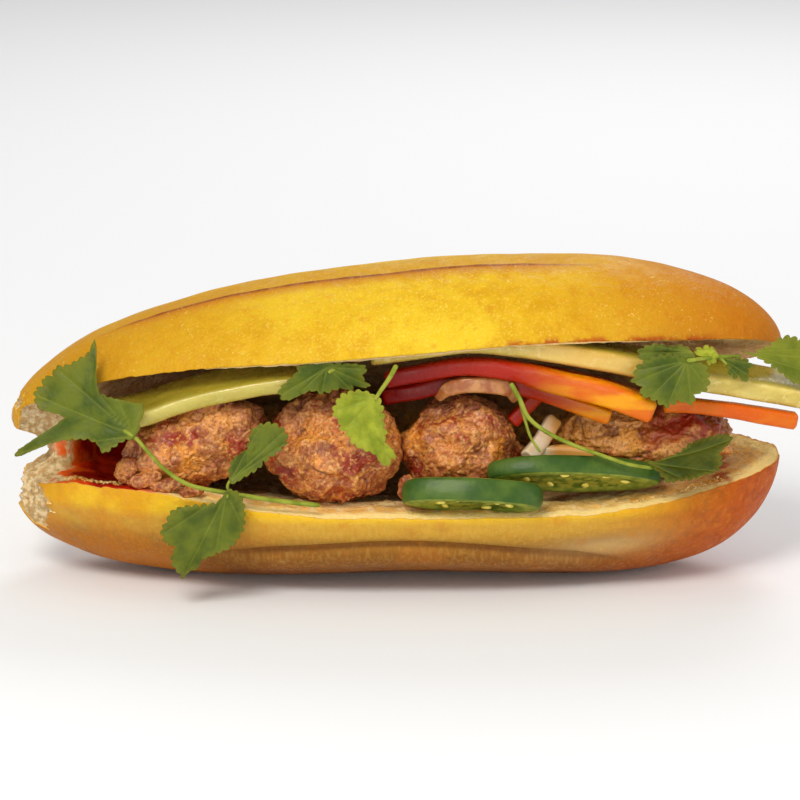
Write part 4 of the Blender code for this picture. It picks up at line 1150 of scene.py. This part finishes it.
grow_sprig(
    "coriander_right",
    [
        ((0.0800, -0.0290, 0.0690), (0.0850, -0.0276, 0.0694), (0.0900, -0.0248, 0.0692),
         (0.0960, -0.0212, 0.0684)),
        ((0.0895, -0.0252, 0.0690), (0.0905, -0.0252, 0.0682), (0.0915, -0.0250, 0.0670)),
    ],
    [
        dict(heart=(0.0750, -0.0298, 0.0637), facing=(-0.05, -0.98, 0.17), root=(5.0, 5.4),
             tips=((-8.6, 2.6), (-9.4, -0.6), (-4.6, -4.4), (0.0, -6.4), (6.2, -5.6), (10.0, -1.0)),
             droop=0.7,
             outline=((-9.5, 1.1), (-9.0, 3.4), (-6.4, 5.3), (-4.5, 6.2), (0.0, 7.3), (3.4, 6.4),
                      (6.7, 5.0), (10.1, 4.2), (11.2, 0.0), (10.1, -3.1), (7.6, -3.9),
                      (6.7, -6.7), (3.4, -5.9), (0.8, -6.7), (-0.8, -7.3), (-5.0, -5.0),
                      (-7.6, -4.2), (-7.8, -1.7), (-10.1, -0.6))),
        dict(heart=(0.0745, -0.0278, 0.0706), facing=(-0.05, -0.97, 0.22), root=(7.6, 0.6),
             tips=((-7.6, 0.4), (-3.0, 2.4), (3.0, 2.2)),
             outline=((-8.0, 0.3), (-6.4, 2.0), (-2.8, 2.8), (0.8, 2.2), (4.2, 2.5), (7.0, 0.8),
                      (8.1, -1.4), (5.6, -2.5), (-1.4, -2.0), (-5.6, -2.5))),
        dict(heart=(0.0858, -0.0268, 0.0702), facing=(-0.05, -0.98, 0.17), root=(2.6, 1.4),
             tips=((-3.0, 1.4), (0.6, -2.2)), young=1.0,
             outline=((-3.4, 1.5), (-1.7, 2.0), (1.1, 2.4), (2.9, 0.3), (2.5, -1.4), (0.8, -2.7),
                      (-0.4, -1.4), (-2.5, -0.2))),
        dict(heart=(0.0944, -0.0243, 0.0660), facing=(0.05, -0.99, 0.05), root=(-4.8, 2.8),
             tips=((3.4, 1.2), (3.0, -2.0), (1.8, -3.8), (-1.0, -2.4)),
             outline=((-5.3, 3.1), (-2.2, 2.5), (1.1, 2.6), (3.4, 1.7), (4.2, 0.3), (3.1, -0.8),
                      (3.3, -2.5), (2.0, -4.2), (0.8, -2.5), (-0.8, -2.8), (-2.0, -1.7),
                      (-2.8, 0.6), (-4.2, 1.7))),
        dict(heart=(0.1076, -0.0179, 0.0670), facing=(0.15, -0.93, 0.33), root=(-11.2, 1.8),
             tips=((1.4, 5.4), (8.6, 2.6), (9.6, 0.0), (8.0, -4.0), (3.6, -6.4), (-0.4, -3.2)),
             droop=0.8, young=0.35,
             outline=((-11.6, 2.0), (-7.6, 1.3), (-5.7, 2.5), (-3.4, 3.4), (-1.1, 5.1), (1.7, 6.2),
                      (4.2, 5.7), (6.8, 4.5), (8.8, 2.3), (10.0, 0.0), (8.5, -1.7), (8.8, -4.0),
                      (6.8, -6.2), (4.2, -7.1), (2.0, -5.7), (-0.6, -3.7), (-3.4, -1.7),
                      (-7.1, 0.3))),
    ],
)


# ---------------------------------------------------------------- crumbs and scraps
# Loose crumbs broken off the cut bread, lying on the lips of the slit, and scraps of the meat that
# fell onto the lower lip beside the meatballs.

crumb_finish = Finish("bread_crumb", Roughness=0.85)
crumb_finish.wear(Base_Color=crumb_finish.blend(crumb_finish.mottle(400), tone(222, 156, 66),
                                                tone(246, 216, 146)))
dice = random.Random(11)
crumbs = bmesh.new()
rim = [face for face in cut.polygons if 0.0003 < marks["depth"][face.vertices[0]] < 0.006
       and face.center.y < -0.015 and face.normal.z > 0.2]
for number in range(420):
    spot = rim[dice.randrange(len(rim))].center.copy()
    spot.x += dice.uniform(-0.0006, 0.0006)
    spot.y += dice.uniform(-0.0012, 0.0012)
    size = 0.00022 + 0.0005 * dice.random() ** 3
    shape = Matrix.Diagonal((size * dice.uniform(0.7, 1.4), size * dice.uniform(0.7, 1.2),
                             size * 0.7, 1.0))
    spin = Matrix.Rotation(dice.uniform(0, 3), 4, "Z") @ Matrix.Rotation(dice.uniform(-1, 1), 4, "X")
    made = bmesh.ops.create_icosphere(crumbs, subdivisions=1, radius=1.0,
                                      matrix=Matrix.Translation(spot) @ spin @ shape)["verts"]
    for vert in made:
        vert.co += (vert.co - spot) * 0.9 * uneven(vert.co, 0.0005)
new_piece("crumbs", crumbs, [crumb_finish.material], None, "crust")

scraps = bmesh.new()
for label in ("crease", "ridge"):
    scraps.verts.layers.float.new(label)
for centre, radii, slant in (
    ((0.0020, -0.0292, 0.0318), (0.0030, 0.0022, 0.0040), 10),
    ((-0.0772, -0.0225, 0.0352), (0.0042, 0.0026, 0.0036), 40),
    ((-0.0722, -0.0262, 0.0338), (0.0050, 0.0024, 0.0024), 12),
    ((-0.0655, -0.0278, 0.0326), (0.0052, 0.0022, 0.0018), 4),
    ((-0.0590, -0.0292, 0.0312), (0.0040, 0.0020, 0.0016), 0),
):
    form_meat(scraps, centre, radii, slant, fineness=5, coarse=0.45)
new_piece("meat_scraps", scraps, [meat.material], None, "meat")


# ---------------------------------------------------------------- studio
# A pale floor and large soft lights; the key is above, in front and a little to the left.

floor_finish = Finish("studio_floor", Roughness=0.9, Specular_IOR_Level=0.1)
floor_finish.shader.inputs["Base Color"].default_value = tone(240, 245, 255)
floor_mesh = bmesh.new()
bmesh.ops.create_grid(floor_mesh, x_segments=1, y_segments=1, size=4.0)
floor = new_piece("studio_floor", floor_mesh, [floor_finish.material])

world = bpy.data.worlds.new("studio")
world.use_nodes = True
world.node_tree.nodes["Background"].inputs["Color"].default_value = (1.0, 0.96, 0.89, 1.0)
world.node_tree.nodes["Background"].inputs["Strength"].default_value = 0.52
bpy.context.scene.world = world


def add_light(name, place, aim, size, watts, colour):
    data = bpy.data.lights.new(name, "AREA")
    data.shape = "DISK"
    data.size = size
    data.energy = watts
    data.color = colour
    lamp = bpy.data.objects.new(name, data)
    lamp.location = place
    lamp.rotation_euler = (Vector(aim) - Vector(place)).to_track_quat("-Z", "Y").to_euler()
    bpy.context.scene.collection.objects.link(lamp)


add_light("key", (-0.35, -0.75, 0.95), (0, 0, 0.05), 0.55, 8.7, (1.0, 0.94, 0.82))
add_light("fill", (0.9, -0.7, 0.45), (0, 0, 0.05), 0.7, 2.2, (1.0, 0.93, 0.82))
add_light("front", (-0.1, -1.3, 0.14), (0, 0, 0.04), 0.6, 2.5, (1.0, 0.95, 0.86))
add_light("back", (0.2, 0.9, 0.8), (0, 0, 0.06), 0.6, 4, (1.0, 0.96, 0.90))

lens = bpy.data.cameras.new("camera")
lens.lens = 156
camera = bpy.data.objects.new("camera", lens)
camera.location = (0.0, -0.9659, 0.3088)
camera.rotation_euler = (math.radians(75), 0.0, 0.0)
bpy.context.scene.collection.objects.link(camera)
bpy.context.scene.camera = camera
bpy.context.scene.view_settings.view_transform = "Standard"
